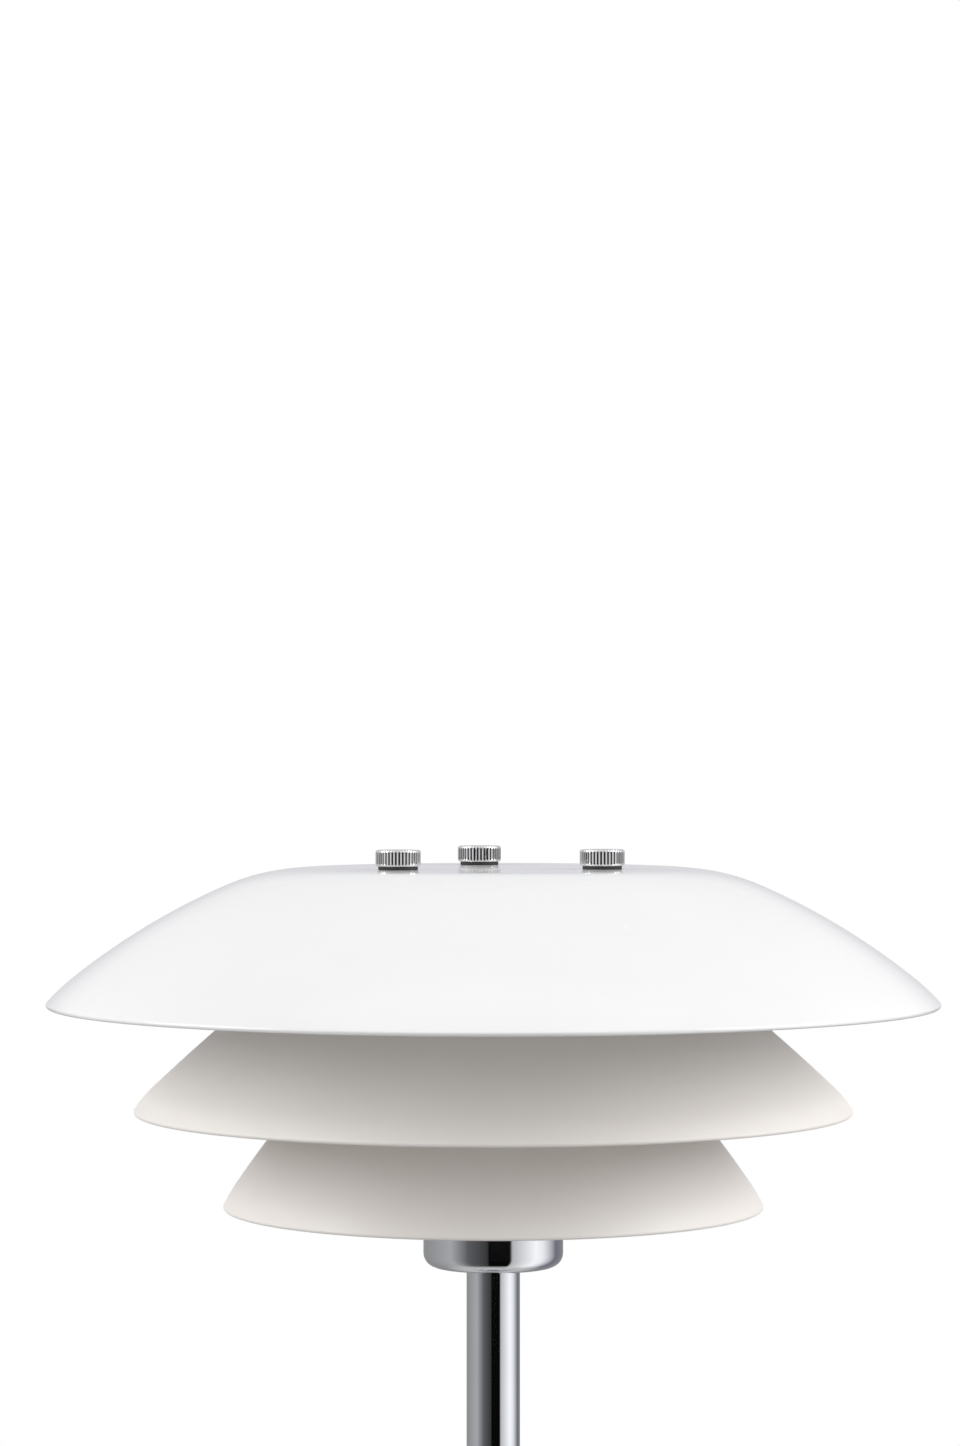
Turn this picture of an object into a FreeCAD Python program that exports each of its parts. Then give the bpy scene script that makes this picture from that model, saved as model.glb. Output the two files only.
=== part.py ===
# Table lamp with three stacked round metal shades, built as separate pieces that come apart on a bench.
#
# From the table up: a felt pad, a steel closing plate and a cast ballast under a domed base cover, a
# straight stem, a holder cup with the lampholder inside, and a three-armed spider that carries three
# threaded rods. Spacer sleeves on the rods set the heights of the two open shades and of the closed top
# shade, and a knurled thumb nut on each rod closes the stack.
#
# Millimetres and degrees. +Z is up, the origin is on the table under the middle of the stem, and the
# cable outlet is at the back, on +Y. Heights in the head are counted down from the top of the lamp, and
# heights in the base are counted up from the table, so the stem takes up what is left between them.
import FreeCAD
import Part
import math
import os
from dataclasses import dataclass

# ---------------------------------------------------------------- driving dimensions: whole lamp
LAMP_HEIGHT = 360.0           # table to the top of the thumb nuts
RUNNING_GAP = 0.05            # radial gap of a thread or a turning fit
LOOSE_GAP = 0.2               # gap round a piece that is dropped over or into another

# ---------------------------------------------------------------- base
COVER_RADIUS = 65.0
COVER_HEIGHT = 20.0           # table to the crown of the cover
COVER_DOME_RADIUS = 360.0     # the shallow dome of its top
COVER_EDGE_RADIUS = 5.0       # the round between the dome and the upright wall
COVER_WALL = 1.2
FELT_THICKNESS = 1.6
FELT_INSET = 1.8              # the felt stays this far inside the cover's wall
PLATE_THICKNESS = 1.0
BALLAST_WEB = 5.0             # iron left over the central pocket, which the stem nut pulls on
BALLAST_POCKET_RADIUS = 15.0
CHANNEL_DEPTH = 9.6           # cable way cut in the ballast, from the pocket to the back
CHANNEL_MARGIN = 1.0          # on each side of the terminal block
PLATE_SCREW_CIRCLE = 46.0
PLATE_SCREW_ANGLES = (-90, 30, 150)
PLATE_SCREW_LENGTH = 8.0
PLATE_SCREW_RADIUS = 1.45
PLATE_SCREW_HEAD_RADIUS = 2.6
PLATE_SCREW_SLOT = 0.5        # depth and width of its slot
OUTLET_BORE_RADIUS = 3.1      # takes a 6 mm round cord
OUTLET_WALL = 0.8
OUTLET_FLANGE_WIDTH = 0.6
OUTLET_FLANGE_THICKNESS = 1.3
OUTLET_DEPTH = 5.0            # length of bush inside the cover wall
OUTLET_LIP = 0.3              # height of the snap lip behind the cover wall
OUTLET_LIP_LENGTH = 1.2

# ---------------------------------------------------------------- stem and its threaded nipples
STEM_RADIUS = 6.0
NIPPLE_RADIUS = 5.0
NIPPLE_BORE_RADIUS = 3.5
NIPPLE_GRIP = 16.0            # length of nipple screwed into each end of the stem
NIPPLE_TAIL = 1.0             # length that stands past the stem nut
STEM_NUT_FLATS = 17.0
STEM_NUT_THICKNESS = 3.5
STEM_WASHER_RADIUS = 9.5
STEM_WASHER_THICKNESS = 0.6

# ---------------------------------------------------------------- terminal block and inner wires
BLOCK_WIDTH = 14.0
BLOCK_LENGTH = 18.0
BLOCK_HEIGHT = 7.6
BLOCK_CORNER_RADIUS = 0.8
BLOCK_FRONT = 26.0            # its front face, this far behind the stem's axis
POLE_SPACING = 7.2
POLE_RADIUS = 2.3
POLE_BORE_RADIUS = 1.3
POLE_INSET = 1.0              # the brass ends this far inside the block
POLE_OFFSET = 0.6             # the poles lie this far above the block's middle
POLE_SCREW_RADIUS = 1.1
POLE_SCREW_INSET = 4.0
BLOCK_SCREW_RADIUS = 1.2
BLOCK_SCREW_HEAD_RADIUS = 2.3
BLOCK_SCREW_HEAD = 1.0        # thickness of its head
BLOCK_SCREW_GRIP = 3.0        # length in the iron
WIRE_RADIUS = 1.0
CONDUCTOR_RADIUS = 0.5
WIRE_SPACING = 2.6            # between the two wires inside the stem
WIRE_CLEARANCE = 0.8          # under the wires, above the closing plate
WIRE_BEND = 4.2
BARE_END = 7.0                # length of bare conductor in the terminal

# ---------------------------------------------------------------- holder cup and lampholder
CUP_RADIUS = 15.7
CUP_HEIGHT = 28.0
CUP_WALL = 1.2
CUP_EDGE_RADIUS = 3.0
LOCK_NUT_FLATS = 14.0
LOCK_NUT_THICKNESS = 3.0
LOCK_WASHER_RADIUS = 7.6
LOCK_WASHER_THICKNESS = 0.6
LOCK_WASHER_NOTCHES = 12
LOCK_WASHER_NOTCH_RADIUS = 0.6
NECK_RADIUS = 8.0
NECK_HEIGHT = 4.6
DISH_HEIGHT = 9.0
HOLDER_WALL = 1.6
SLEEVE_FLANGE = 1.1           # how far the sleeve's flange stands out
SLEEVE_FLANGE_THICKNESS = 1.6
SLEEVE_RISE = 5.2             # height of the sleeve above the spider
RING_WALL = 3.8
RING_HEIGHT = 4.4
RING_NOTCHES = 12
RING_NOTCH_RADIUS = 0.9
CORE_RISE = 0.6               # height of the ceramic above the sleeve
CORE_HEIGHT = 15.0
CORE_SCREW_OFFSET = 7.5
CORE_SCREW_RADIUS = 1.1
CORE_SCREW_HEAD_RADIUS = 2.0
CORE_SCREW_HEAD = 1.1
CORE_SCREW_GRIP = 4.0         # length in the post below the ceramic
CORE_SCREW_SLOT = 0.5         # depth and width of its slot
PIN_SPACING = 9.0
PIN_RADIUS = 0.5
PIN_LENGTH = 8.5              # below the foot of the bulb
PIN_ROOT = 5.0                # inside the foot of the bulb
CLIP_LEAF = 0.35
CLIP_WIDTH = 2.0
CLIP_DEPTH = 10.5             # from the top of the ceramic to the foot of the clips
CLIP_INSET = 1.0              # the clips end this far below the top of the ceramic

# ---------------------------------------------------------------- bulb
BULB_RADIUS = 7.6
BULB_LENGTH = 30.0            # length of the envelope
BULB_WALL = 0.9
BULB_FOOT_HEIGHT = 8.0
BULB_WAIST_DEPTH = 1.2        # groove round the foot, to grip it by
BULB_WAIST_HEIGHT = 2.0
BULB_SPIGOT = 2.2             # the foot reaches this far into the envelope
BOARD_WIDTH = 6.0
BOARD_THICKNESS = 1.2
BOARD_LENGTH = 22.0

# ---------------------------------------------------------------- spider, rods and spacers
SPIDER_THICKNESS = 1.5
SPIDER_HUB_MARGIN = 1.4       # the hub stands out this far past the ring nut
SPIDER_ARM_WIDTH = 9.0
ROD_CIRCLE_RADIUS = 26.3      # stem axis to the rods
ROD_RADIUS = 2.0
FIRST_ROD_ANGLE = -23.0       # the right-hand rod, measured from +X
ROD_NAMES = ("right", "back", "left")
ROD_NUT_FLATS = 7.0
ROD_NUT_THICKNESS = 3.2
ROD_TAIL = 0.8
ROD_HOLE_GAP = 0.3            # round the rods, in the shades
SPACER_RADIUS = 3.2
SOFT_WASHER_RADIUS = 5.0      # they keep the spacers off the lacquer
SOFT_WASHER_THICKNESS = 0.8
LIGHT_HOLE_MARGIN = 1.8       # between the light hole's edge and the soft washers

# ---------------------------------------------------------------- thumb nuts
THUMB_NUT_RADIUS = 5.0
THUMB_NUT_HEIGHT = 3.7
THUMB_NUT_ROUND = 0.55
KNURL_COUNT = 40
KNURL_DEPTH = 0.38
KNURL_LAND = 0.46             # share of the pitch that the top of a rib takes
KNURL_ROOT = 0.16             # share that the bottom of a groove takes
INSERT_RADIUS = 3.1
INSERT_HEIGHT = 2.8
THREAD_ENGAGED = 2.4          # length of rod inside the insert
NUT_WASHER_RADIUS = 4.4
NUT_WASHER_THICKNESS = 0.7

# ---------------------------------------------------------------- shades
SHADE_WALL = 1.2


@dataclass(frozen=True)
class Shade:
    """A round shade. Its outer face runs down from a flat crown through three tangent arcs to the rim.

    Drops are below the face that the thumb nuts' washers press on. A slope is in degrees below the
    horizontal.
    """
    crown_radius: float
    crown_drop: float
    shoulder_radius: float
    flank_radius: float
    lip_radius: float
    lip_slope: float          # slope at the rim
    rim_radius: float         # outermost point of the rounded rim
    rim_drop: float
    open_crown: bool


TOP_SHADE = Shade(crown_radius=41.5, crown_drop=0.0, shoulder_radius=47.0, flank_radius=152.0,
                  lip_radius=48.0, lip_slope=48.0, rim_radius=100.0, rim_drop=30.15, open_crown=False)
MIDDLE_SHADE = Shade(crown_radius=36.0, crown_drop=18.3, shoulder_radius=12.0, flank_radius=420.0,
                     lip_radius=24.0, lip_slope=57.2, rim_radius=80.5, rim_drop=54.15, open_crown=True)
BOTTOM_SHADE = Shade(crown_radius=34.0, crown_drop=45.5, shoulder_radius=9.0, flank_radius=260.0,
                     lip_radius=35.0, lip_slope=64.4, rim_radius=60.5, rim_drop=75.65, open_crown=True)
CUP_DROP = 89.4               # from the same face down to the bottom of the holder cup

# ---------------------------------------------------------------- heights that follow, in the head
nut_seat_z = LAMP_HEIGHT - THUMB_NUT_HEIGHT
head_z = nut_seat_z - NUT_WASHER_THICKNESS
rod_high_z = nut_seat_z + THREAD_ENGAGED
cup_z = head_z - CUP_DROP
cup_floor_z = cup_z + CUP_WALL
spider_z = cup_z + CUP_HEIGHT
spider_top_z = spider_z + SPIDER_THICKNESS
rod_nut_z = spider_z - ROD_NUT_THICKNESS
rod_low_z = rod_nut_z - ROD_TAIL
lock_nut_z = cup_floor_z + LOCK_WASHER_THICKNESS
neck_z = lock_nut_z + LOCK_NUT_THICKNESS
dish_z = neck_z + NECK_HEIGHT
sleeve_z = dish_z + DISH_HEIGHT
sleeve_top_z = spider_top_z + SLEEVE_RISE
core_top_z = sleeve_top_z + CORE_RISE
core_z = core_top_z - CORE_HEIGHT
clip_z = core_top_z - CLIP_DEPTH
bulb_glass_z = core_top_z + BULB_FOOT_HEIGHT

# ---------------------------------------------------------------- heights that follow, in the base
plate_z = FELT_THICKNESS
plate_top_z = plate_z + PLATE_THICKNESS
stem_z = COVER_HEIGHT
pocket_roof_z = COVER_HEIGHT - COVER_WALL - LOOSE_GAP - BALLAST_WEB
stem_washer_z = pocket_roof_z - STEM_WASHER_THICKNESS
stem_nut_z = stem_washer_z - STEM_NUT_THICKNESS
channel_roof_z = plate_top_z + CHANNEL_DEPTH
block_z = channel_roof_z - BLOCK_HEIGHT
pole_z = block_z + BLOCK_HEIGHT / 2 + POLE_OFFSET
outlet_radius = OUTLET_BORE_RADIUS + OUTLET_WALL
outlet_z = plate_top_z + LOOSE_GAP + OUTLET_LIP + outlet_radius

# ---------------------------------------------------------------- widths that follow
inside_cover = COVER_RADIUS - COVER_WALL
inside_cup = CUP_RADIUS - CUP_WALL
nipple_hole = NIPPLE_RADIUS + LOOSE_GAP
rod_hole = ROD_RADIUS + LOOSE_GAP
flange_radius = inside_cup - LOOSE_GAP
sleeve_radius = flange_radius - SLEEVE_FLANGE
core_radius = sleeve_radius - HOLDER_WALL - LOOSE_GAP
ring_radius = sleeve_radius + RING_WALL
light_hole_radius = ROD_CIRCLE_RADIUS - SOFT_WASHER_RADIUS - LIGHT_HOLE_MARGIN
block_back = BLOCK_FRONT + BLOCK_LENGTH
block_middle = BLOCK_FRONT + BLOCK_LENGTH / 2


# ---------------------------------------------------------------- shapes that many pieces use
def point(radius, z):
    """A point of a half outline, in the plane through the axis."""
    return FreeCAD.Vector(radius, 0, z)


def towards(slope, length):
    """A step at right angles to a surface of that slope: slope 0 is straight up and 90 straight out."""
    angle = math.radians(slope)
    return FreeCAD.Vector(length * math.sin(angle), 0, length * math.cos(angle))


def line(start, end):
    return Part.LineSegment(start, end).toShape()


def arc(centre, radius, slope_from, slope_to):
    """An arc about centre between two slopes."""
    middle = (slope_from + slope_to) / 2
    return Part.Arc(centre + towards(slope_from, radius), centre + towards(middle, radius),
                    centre + towards(slope_to, radius)).toShape()


def spin(edges):
    """The solid of a closed half outline turned about the stem axis."""
    return Part.Face(Part.Wire(edges)).revolve(FreeCAD.Vector(0, 0, 0), FreeCAD.Vector(0, 0, 1), 360)


def cylinder(radius, low, high, x=0.0, y=0.0):
    return Part.makeCylinder(radius, high - low, FreeCAD.Vector(x, y, low))


def ring(outer, inner, low, high, x=0.0, y=0.0):
    return cylinder(outer, low, high, x, y).cut(cylinder(inner, low - 1, high + 1, x, y))


def lying_cylinder(radius, y0, y1, x, z):
    """A round bar along Y."""
    return Part.makeCylinder(radius, y1 - y0, FreeCAD.Vector(x, y0, z), FreeCAD.Vector(0, 1, 0))


def box(x0, x1, y0, y1, z0, z1):
    return Part.makeBox(x1 - x0, y1 - y0, z1 - z0, FreeCAD.Vector(x0, y0, z0))


def nut(flats, bore, low, high, x=0.0, y=0.0):
    """A hexagon nut with its bore, its corners turned off top and bottom."""
    corner = flats / 2 / math.cos(math.radians(30))
    bevel = (high - low) * 0.2
    turns = [math.radians(60 * index) for index in range(7)]
    corners = [FreeCAD.Vector(corner * math.cos(turn), corner * math.sin(turn), low) for turn in turns]
    prism = Part.Face(Part.makePolygon(corners)).extrude(FreeCAD.Vector(0, 0, high - low))
    outline = [point(0, low), point(flats / 2, low), point(corner, low + bevel), point(corner, high - bevel),
               point(flats / 2, high), point(0, high), point(0, low)]
    body = prism.common(spin([Part.makePolygon(outline)])).cut(cylinder(bore, low - 1, high + 1))
    body.translate(FreeCAD.Vector(x, y, 0))
    return body


def notched(body, count, notch_radius, at_radius, low, high):
    """The body with round notches through its edge."""
    for index in range(count):
        angle = 2 * math.pi * index / count
        body = body.cut(cylinder(notch_radius, low - 1, high + 1, at_radius * math.cos(angle),
                                 at_radius * math.sin(angle)))
    return body


def rod_places():
    """(name, x, y) of the three rods."""
    places = []
    for index, name in enumerate(ROD_NAMES):
        turn = math.radians(FIRST_ROD_ANGLE + 120 * index)
        places.append((name, ROD_CIRCLE_RADIUS * math.cos(turn), ROD_CIRCLE_RADIUS * math.sin(turn)))
    return places


def at_rods(make):
    """One solid for each rod, together."""
    return Part.makeCompound([make(x, y) for _, x, y in rod_places()])


def pipe(points, bend, radius):
    """A round bar along straight runs joined by tangent arcs of one bend radius."""
    edges = []
    start = points[0]
    for before, corner, after in zip(points, points[1:], points[2:]):
        back = (before - corner).normalize()
        on = (after - corner).normalize()
        half = back.getAngle(on) / 2
        reach = bend / math.tan(half)
        middle = (back + on).normalize() * (bend / math.sin(half) - bend)
        edges.append(line(start, corner + back * reach))
        edges.append(Part.Arc(corner + back * reach, corner + middle, corner + on * reach).toShape())
        start = corner + on * reach
    edges.append(line(start, points[-1]))
    section = Part.Wire(Part.makeCircle(radius, points[0], points[1] - points[0]))
    return Part.Wire(edges).makePipeShell([section], True, False)


# ---------------------------------------------------------------- shades
def shade_centres(shade):
    """Centres of the rim, lip, flank and shoulder arcs, and the two slopes where the flank begins and
    ends. The flank is the arc of its radius that both the shoulder and the lip touch from inside."""
    rim = point(shade.rim_radius - SHADE_WALL / 2, head_z - shade.rim_drop)
    lip = rim - towards(shade.lip_slope, shade.lip_radius - SHADE_WALL / 2)
    shoulder = point(shade.crown_radius, head_z - shade.crown_drop - shade.shoulder_radius)
    to_lip = shade.flank_radius - shade.lip_radius
    to_shoulder = shade.flank_radius - shade.shoulder_radius
    apart = (lip - shoulder).Length
    along = (to_shoulder ** 2 - to_lip ** 2 + apart ** 2) / (2 * apart)
    aside = math.sqrt(to_shoulder ** 2 - along ** 2)
    unit = (lip - shoulder) / apart
    flank = shoulder + unit * along + FreeCAD.Vector(unit.z, 0, -unit.x) * aside
    begin = math.degrees(math.atan2(shoulder.x - flank.x, shoulder.z - flank.z))
    end = math.degrees(math.atan2(lip.x - flank.x, lip.z - flank.z))
    return rim, lip, flank, shoulder, begin, end


def shade_shell(shade):
    """The outer outline, the round rim, the same outline one wall further in, and either the rounded
    edge of a light hole or a closed crown, turned about the axis and drilled for the rods."""
    rim, lip, flank, shoulder, begin, end = shade_centres(shade)
    crown_z = head_z - shade.crown_drop
    under_z = crown_z - SHADE_WALL
    outer = [arc(shoulder, shade.shoulder_radius, 0, begin),
             arc(flank, shade.flank_radius, begin, end),
             arc(lip, shade.lip_radius, end, shade.lip_slope)]
    edge = arc(rim, SHADE_WALL / 2, shade.lip_slope, shade.lip_slope + 180)
    inner = [arc(lip, shade.lip_radius - SHADE_WALL, shade.lip_slope, end),
             arc(flank, shade.flank_radius - SHADE_WALL, end, begin),
             arc(shoulder, shade.shoulder_radius - SHADE_WALL, begin, 0)]
    if shade.open_crown:
        mouth = light_hole_radius + SHADE_WALL / 2
        middle = arc(point(mouth, crown_z - SHADE_WALL / 2), SHADE_WALL / 2, 180, 360)
    else:
        mouth = 0
        middle = line(point(0, under_z), point(0, crown_z))
    top = line(point(mouth, crown_z), point(shade.crown_radius, crown_z))
    under = line(point(shade.crown_radius, under_z), point(mouth, under_z))
    shell = spin([top, *outer, edge, *inner, under, middle])
    for _, x, y in rod_places():
        shell = shell.cut(cylinder(ROD_RADIUS + ROD_HOLE_GAP, under_z - 1, crown_z + 1, x, y))
    return shell


# ---------------------------------------------------------------- base
def cover_edge():
    """Centre of the round between the cover's dome and its wall."""
    x = COVER_RADIUS - COVER_EDGE_RADIUS
    reach = COVER_DOME_RADIUS - COVER_EDGE_RADIUS
    return point(x, COVER_HEIGHT - COVER_DOME_RADIUS + math.sqrt(reach ** 2 - x ** 2))


def dome(inset, low, hole):
    """The base cover's outer form taken in by inset on every side, flat at low, with a hole up its axis."""
    centre = point(0, COVER_HEIGHT - COVER_DOME_RADIUS)
    edge = cover_edge()
    edge_slope = math.degrees(math.asin(edge.x / (COVER_DOME_RADIUS - COVER_EDGE_RADIUS)))
    radius = COVER_DOME_RADIUS - inset
    hole_slope = math.degrees(math.asin(hole / radius))
    crown = centre + towards(hole_slope, radius)
    wall_x = COVER_RADIUS - inset
    return spin([arc(centre, radius, hole_slope, edge_slope),
                 arc(edge, COVER_EDGE_RADIUS - inset, edge_slope, 90),
                 line(point(wall_x, edge.z), point(wall_x, low)),
                 line(point(wall_x, low), point(hole, low)),
                 line(point(hole, low), crown)])


def outlet_cylinder(radius, y0, y1):
    return lying_cylinder(radius, y0, y1, 0, outlet_z)


def base_cover():
    """Spun dome with a flat seat for the stem, a hole for the nipple and one for the cable outlet."""
    shell = dome(0, plate_z, nipple_hole).cut(dome(COVER_WALL, plate_z - 1, nipple_hole / 2))
    seat = ring(STEM_RADIUS + LOOSE_GAP, nipple_hole, stem_z - COVER_WALL, stem_z)
    bush_hole = outlet_cylinder(outlet_radius + RUNNING_GAP, COVER_RADIUS / 2, COVER_RADIUS + 1)
    return shell.fuse(seat).removeSplitter().cut(bush_hole)


def plate_screw_places():
    turns = [math.radians(angle) for angle in PLATE_SCREW_ANGLES]
    return [(PLATE_SCREW_CIRCLE * math.cos(turn), PLATE_SCREW_CIRCLE * math.sin(turn)) for turn in turns]


def plate_screw(x, y, gap=0.0, longer=0.0):
    """A countersunk screw that points up from the underside of the closing plate, or the hole for it."""
    head = Part.makeCone(PLATE_SCREW_HEAD_RADIUS + gap, PLATE_SCREW_RADIUS + gap,
                         PLATE_SCREW_HEAD_RADIUS - PLATE_SCREW_RADIUS, FreeCAD.Vector(x, y, plate_z))
    shank = cylinder(PLATE_SCREW_RADIUS + gap, plate_z, plate_z + PLATE_SCREW_LENGTH + longer, x, y)
    return head.fuse(shank).removeSplitter()


def ballast():
    """Cast disc under the dome, with a pocket for the stem nut and a way for the wires to the back."""
    body = dome(COVER_WALL + LOOSE_GAP, plate_top_z, nipple_hole)
    half = BLOCK_WIDTH / 2 + CHANNEL_MARGIN
    body = body.cut(cylinder(BALLAST_POCKET_RADIUS, plate_top_z - 1, pocket_roof_z))
    body = body.cut(box(-half, half, 0, COVER_RADIUS, plate_top_z - 1, channel_roof_z))
    for x, y in plate_screw_places():
        body = body.cut(plate_screw(x, y, RUNNING_GAP, 1))
    return body.cut(cylinder(BLOCK_SCREW_RADIUS + RUNNING_GAP, channel_roof_z - 1,
                             channel_roof_z + BLOCK_SCREW_GRIP + LOOSE_GAP, 0, block_middle))


def base_plate():
    """Closing plate, countersunk for its three screws."""
    plate = cylinder(inside_cover - LOOSE_GAP, plate_z, plate_top_z)
    for x, y in plate_screw_places():
        plate = plate.cut(plate_screw(x, y, RUNNING_GAP))
    return plate


def base_plate_screws():
    screws = []
    for x, y in plate_screw_places():
        slot = box(x - PLATE_SCREW_HEAD_RADIUS, x + PLATE_SCREW_HEAD_RADIUS, y - PLATE_SCREW_SLOT / 2,
                   y + PLATE_SCREW_SLOT / 2, plate_z - 1, plate_z + PLATE_SCREW_SLOT)
        screws.append(plate_screw(x, y).cut(slot))
    return Part.makeCompound(screws)


def felt_pad():
    return cylinder(inside_cover - FELT_INSET, 0, FELT_THICKNESS)


def cable_outlet_bush():
    """Flanged bush in the back of the cover, with a snap lip behind the wall. The flange follows the wall."""
    inner_end = inside_cover - OUTLET_DEPTH
    outer_end = COVER_RADIUS + OUTLET_FLANGE_THICKNESS
    flange = outlet_cylinder(outlet_radius + OUTLET_FLANGE_WIDTH, inside_cover, outer_end)
    flange = flange.cut(cylinder(COVER_RADIUS, 0, COVER_HEIGHT))
    lip_radius = outlet_radius + OUTLET_LIP
    above_edge = max(0, outlet_z + lip_radius - cover_edge().z)
    wall_radius = cover_edge().x + math.sqrt((COVER_EDGE_RADIUS - COVER_WALL) ** 2 - above_edge ** 2)
    lip_end = math.sqrt(wall_radius ** 2 - lip_radius ** 2) - LOOSE_GAP
    lip = Part.makeCone(outlet_radius, lip_radius, OUTLET_LIP_LENGTH,
                        FreeCAD.Vector(0, lip_end - OUTLET_LIP_LENGTH, outlet_z), FreeCAD.Vector(0, 1, 0))
    bush = outlet_cylinder(outlet_radius, inner_end, outer_end).fuse([flange, lip]).removeSplitter()
    return bush.cut(outlet_cylinder(OUTLET_BORE_RADIUS, inner_end - 1, outer_end + 1))


# ---------------------------------------------------------------- stem
def stem_tube():
    return ring(STEM_RADIUS, NIPPLE_RADIUS + RUNNING_GAP, stem_z, cup_z)


def lower_nipple():
    return ring(NIPPLE_RADIUS, NIPPLE_BORE_RADIUS, stem_nut_z - NIPPLE_TAIL, stem_z + NIPPLE_GRIP)


def upper_nipple():
    return ring(NIPPLE_RADIUS, NIPPLE_BORE_RADIUS, cup_z - NIPPLE_GRIP, neck_z + NECK_HEIGHT)


def stem_washer():
    return ring(STEM_WASHER_RADIUS, nipple_hole, stem_washer_z, pocket_roof_z)


def stem_nut():
    return nut(STEM_NUT_FLATS, NIPPLE_RADIUS + RUNNING_GAP, stem_nut_z, stem_washer_z)


# ---------------------------------------------------------------- terminal block and wires
def pole(radius, side, y0, y1):
    return lying_cylinder(radius, y0, y1, side * POLE_SPACING / 2, pole_z)


def pole_screw_places():
    return [(side * POLE_SPACING / 2, y) for side in (-1, 1)
            for y in (BLOCK_FRONT + POLE_SCREW_INSET, block_back - POLE_SCREW_INSET)]


def terminal_block():
    body = box(-BLOCK_WIDTH / 2, BLOCK_WIDTH / 2, BLOCK_FRONT, block_back, block_z, channel_roof_z)
    upright = [edge for edge in body.Edges if edge.BoundBox.XLength + edge.BoundBox.YLength < RUNNING_GAP]
    body = body.makeFillet(BLOCK_CORNER_RADIUS, upright)
    for side in (-1, 1):
        body = body.cut(pole(POLE_RADIUS + RUNNING_GAP, side, BLOCK_FRONT - 1, block_back + 1))
    for x, y in pole_screw_places():
        body = body.cut(cylinder(POLE_SCREW_RADIUS + LOOSE_GAP, block_z - 1, pole_z, x, y))
    fixing_hole = cylinder(BLOCK_SCREW_RADIUS + RUNNING_GAP, block_z - 1, channel_roof_z + 1, 0, block_middle)
    return body.cut(fixing_hole)


def terminal_inserts():
    """Brass tubes that join the wires, tapped for their clamping screws."""
    inserts = []
    for side in (-1, 1):
        insert = pole(POLE_RADIUS, side, BLOCK_FRONT + POLE_INSET, block_back - POLE_INSET)
        insert = insert.cut(pole(POLE_BORE_RADIUS, side, BLOCK_FRONT, block_back))
        for x, y in pole_screw_places():
            insert = insert.cut(cylinder(POLE_SCREW_RADIUS + RUNNING_GAP, block_z - 1, pole_z, x, y))
        inserts.append(insert)
    return Part.makeCompound(inserts)


def terminal_screws():
    """Four clamping screws, turned from below. The front ones bear on the lamp's own conductors."""
    return Part.makeCompound([cylinder(POLE_SCREW_RADIUS, block_z, pole_z - CONDUCTOR_RADIUS, x, y)
                              for x, y in pole_screw_places()])


def terminal_block_screw():
    head = cylinder(BLOCK_SCREW_HEAD_RADIUS, block_z - BLOCK_SCREW_HEAD, block_z, 0, block_middle)
    shank = cylinder(BLOCK_SCREW_RADIUS, block_z - BLOCK_SCREW_HEAD, channel_roof_z + BLOCK_SCREW_GRIP, 0,
                     block_middle)
    return head.fuse(shank).removeSplitter()


def inner_wire(side):
    """One insulated wire from the terminal block, under the stem nut, up the stem and out to its contact
    clip. Its bare ends reach into the brass insert and up to the clip."""
    near = side * WIRE_SPACING / 2
    pole_x = side * POLE_SPACING / 2
    clip_x = side * PIN_SPACING / 2
    floor_z = plate_top_z + WIRE_CLEARANCE + WIRE_RADIUS
    spread = core_z - dish_z
    route = [FreeCAD.Vector(pole_x, BLOCK_FRONT, pole_z),
             FreeCAD.Vector(pole_x, BLOCK_FRONT * 0.8, pole_z),
             FreeCAD.Vector(near, BLOCK_FRONT * 0.4, floor_z),
             FreeCAD.Vector(near, 0, floor_z),
             FreeCAD.Vector(near, 0, dish_z + spread * 0.2),
             FreeCAD.Vector(clip_x, 0, dish_z + spread * 0.65),
             FreeCAD.Vector(clip_x, 0, core_z)]
    insulated = pipe(route, WIRE_BEND, WIRE_RADIUS)
    lower_end = lying_cylinder(CONDUCTOR_RADIUS, BLOCK_FRONT - 1, BLOCK_FRONT + BARE_END, pole_x, pole_z)
    upper_end = cylinder(CONDUCTOR_RADIUS, core_z - 1, clip_z, clip_x, 0)
    return insulated.fuse([lower_end, upper_end])


# ---------------------------------------------------------------- holder cup and lampholder
def holder_cup():
    """Deep-drawn cup with a rounded bottom edge, open at the top."""
    low = cup_z + CUP_EDGE_RADIUS
    centre = point(CUP_RADIUS - CUP_EDGE_RADIUS, low)
    return spin([line(point(nipple_hole, cup_z), point(centre.x, cup_z)),
                 arc(centre, CUP_EDGE_RADIUS, 180, 90),
                 line(point(CUP_RADIUS, low), point(CUP_RADIUS, spider_z)),
                 line(point(CUP_RADIUS, spider_z), point(inside_cup, spider_z)),
                 line(point(inside_cup, spider_z), point(inside_cup, low)),
                 arc(centre, CUP_EDGE_RADIUS - CUP_WALL, 90, 180),
                 line(point(centre.x, cup_floor_z), point(nipple_hole, cup_floor_z)),
                 line(point(nipple_hole, cup_floor_z), point(nipple_hole, cup_z))])


def lock_washer():
    """Toothed washer under the lock nut."""
    return notched(ring(LOCK_WASHER_RADIUS, nipple_hole, cup_floor_z, lock_nut_z), LOCK_WASHER_NOTCHES,
                   LOCK_WASHER_NOTCH_RADIUS, LOCK_WASHER_RADIUS, cup_floor_z, lock_nut_z)


def lock_nut():
    return nut(LOCK_NUT_FLATS, NIPPLE_RADIUS + RUNNING_GAP, lock_nut_z, neck_z)


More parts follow.
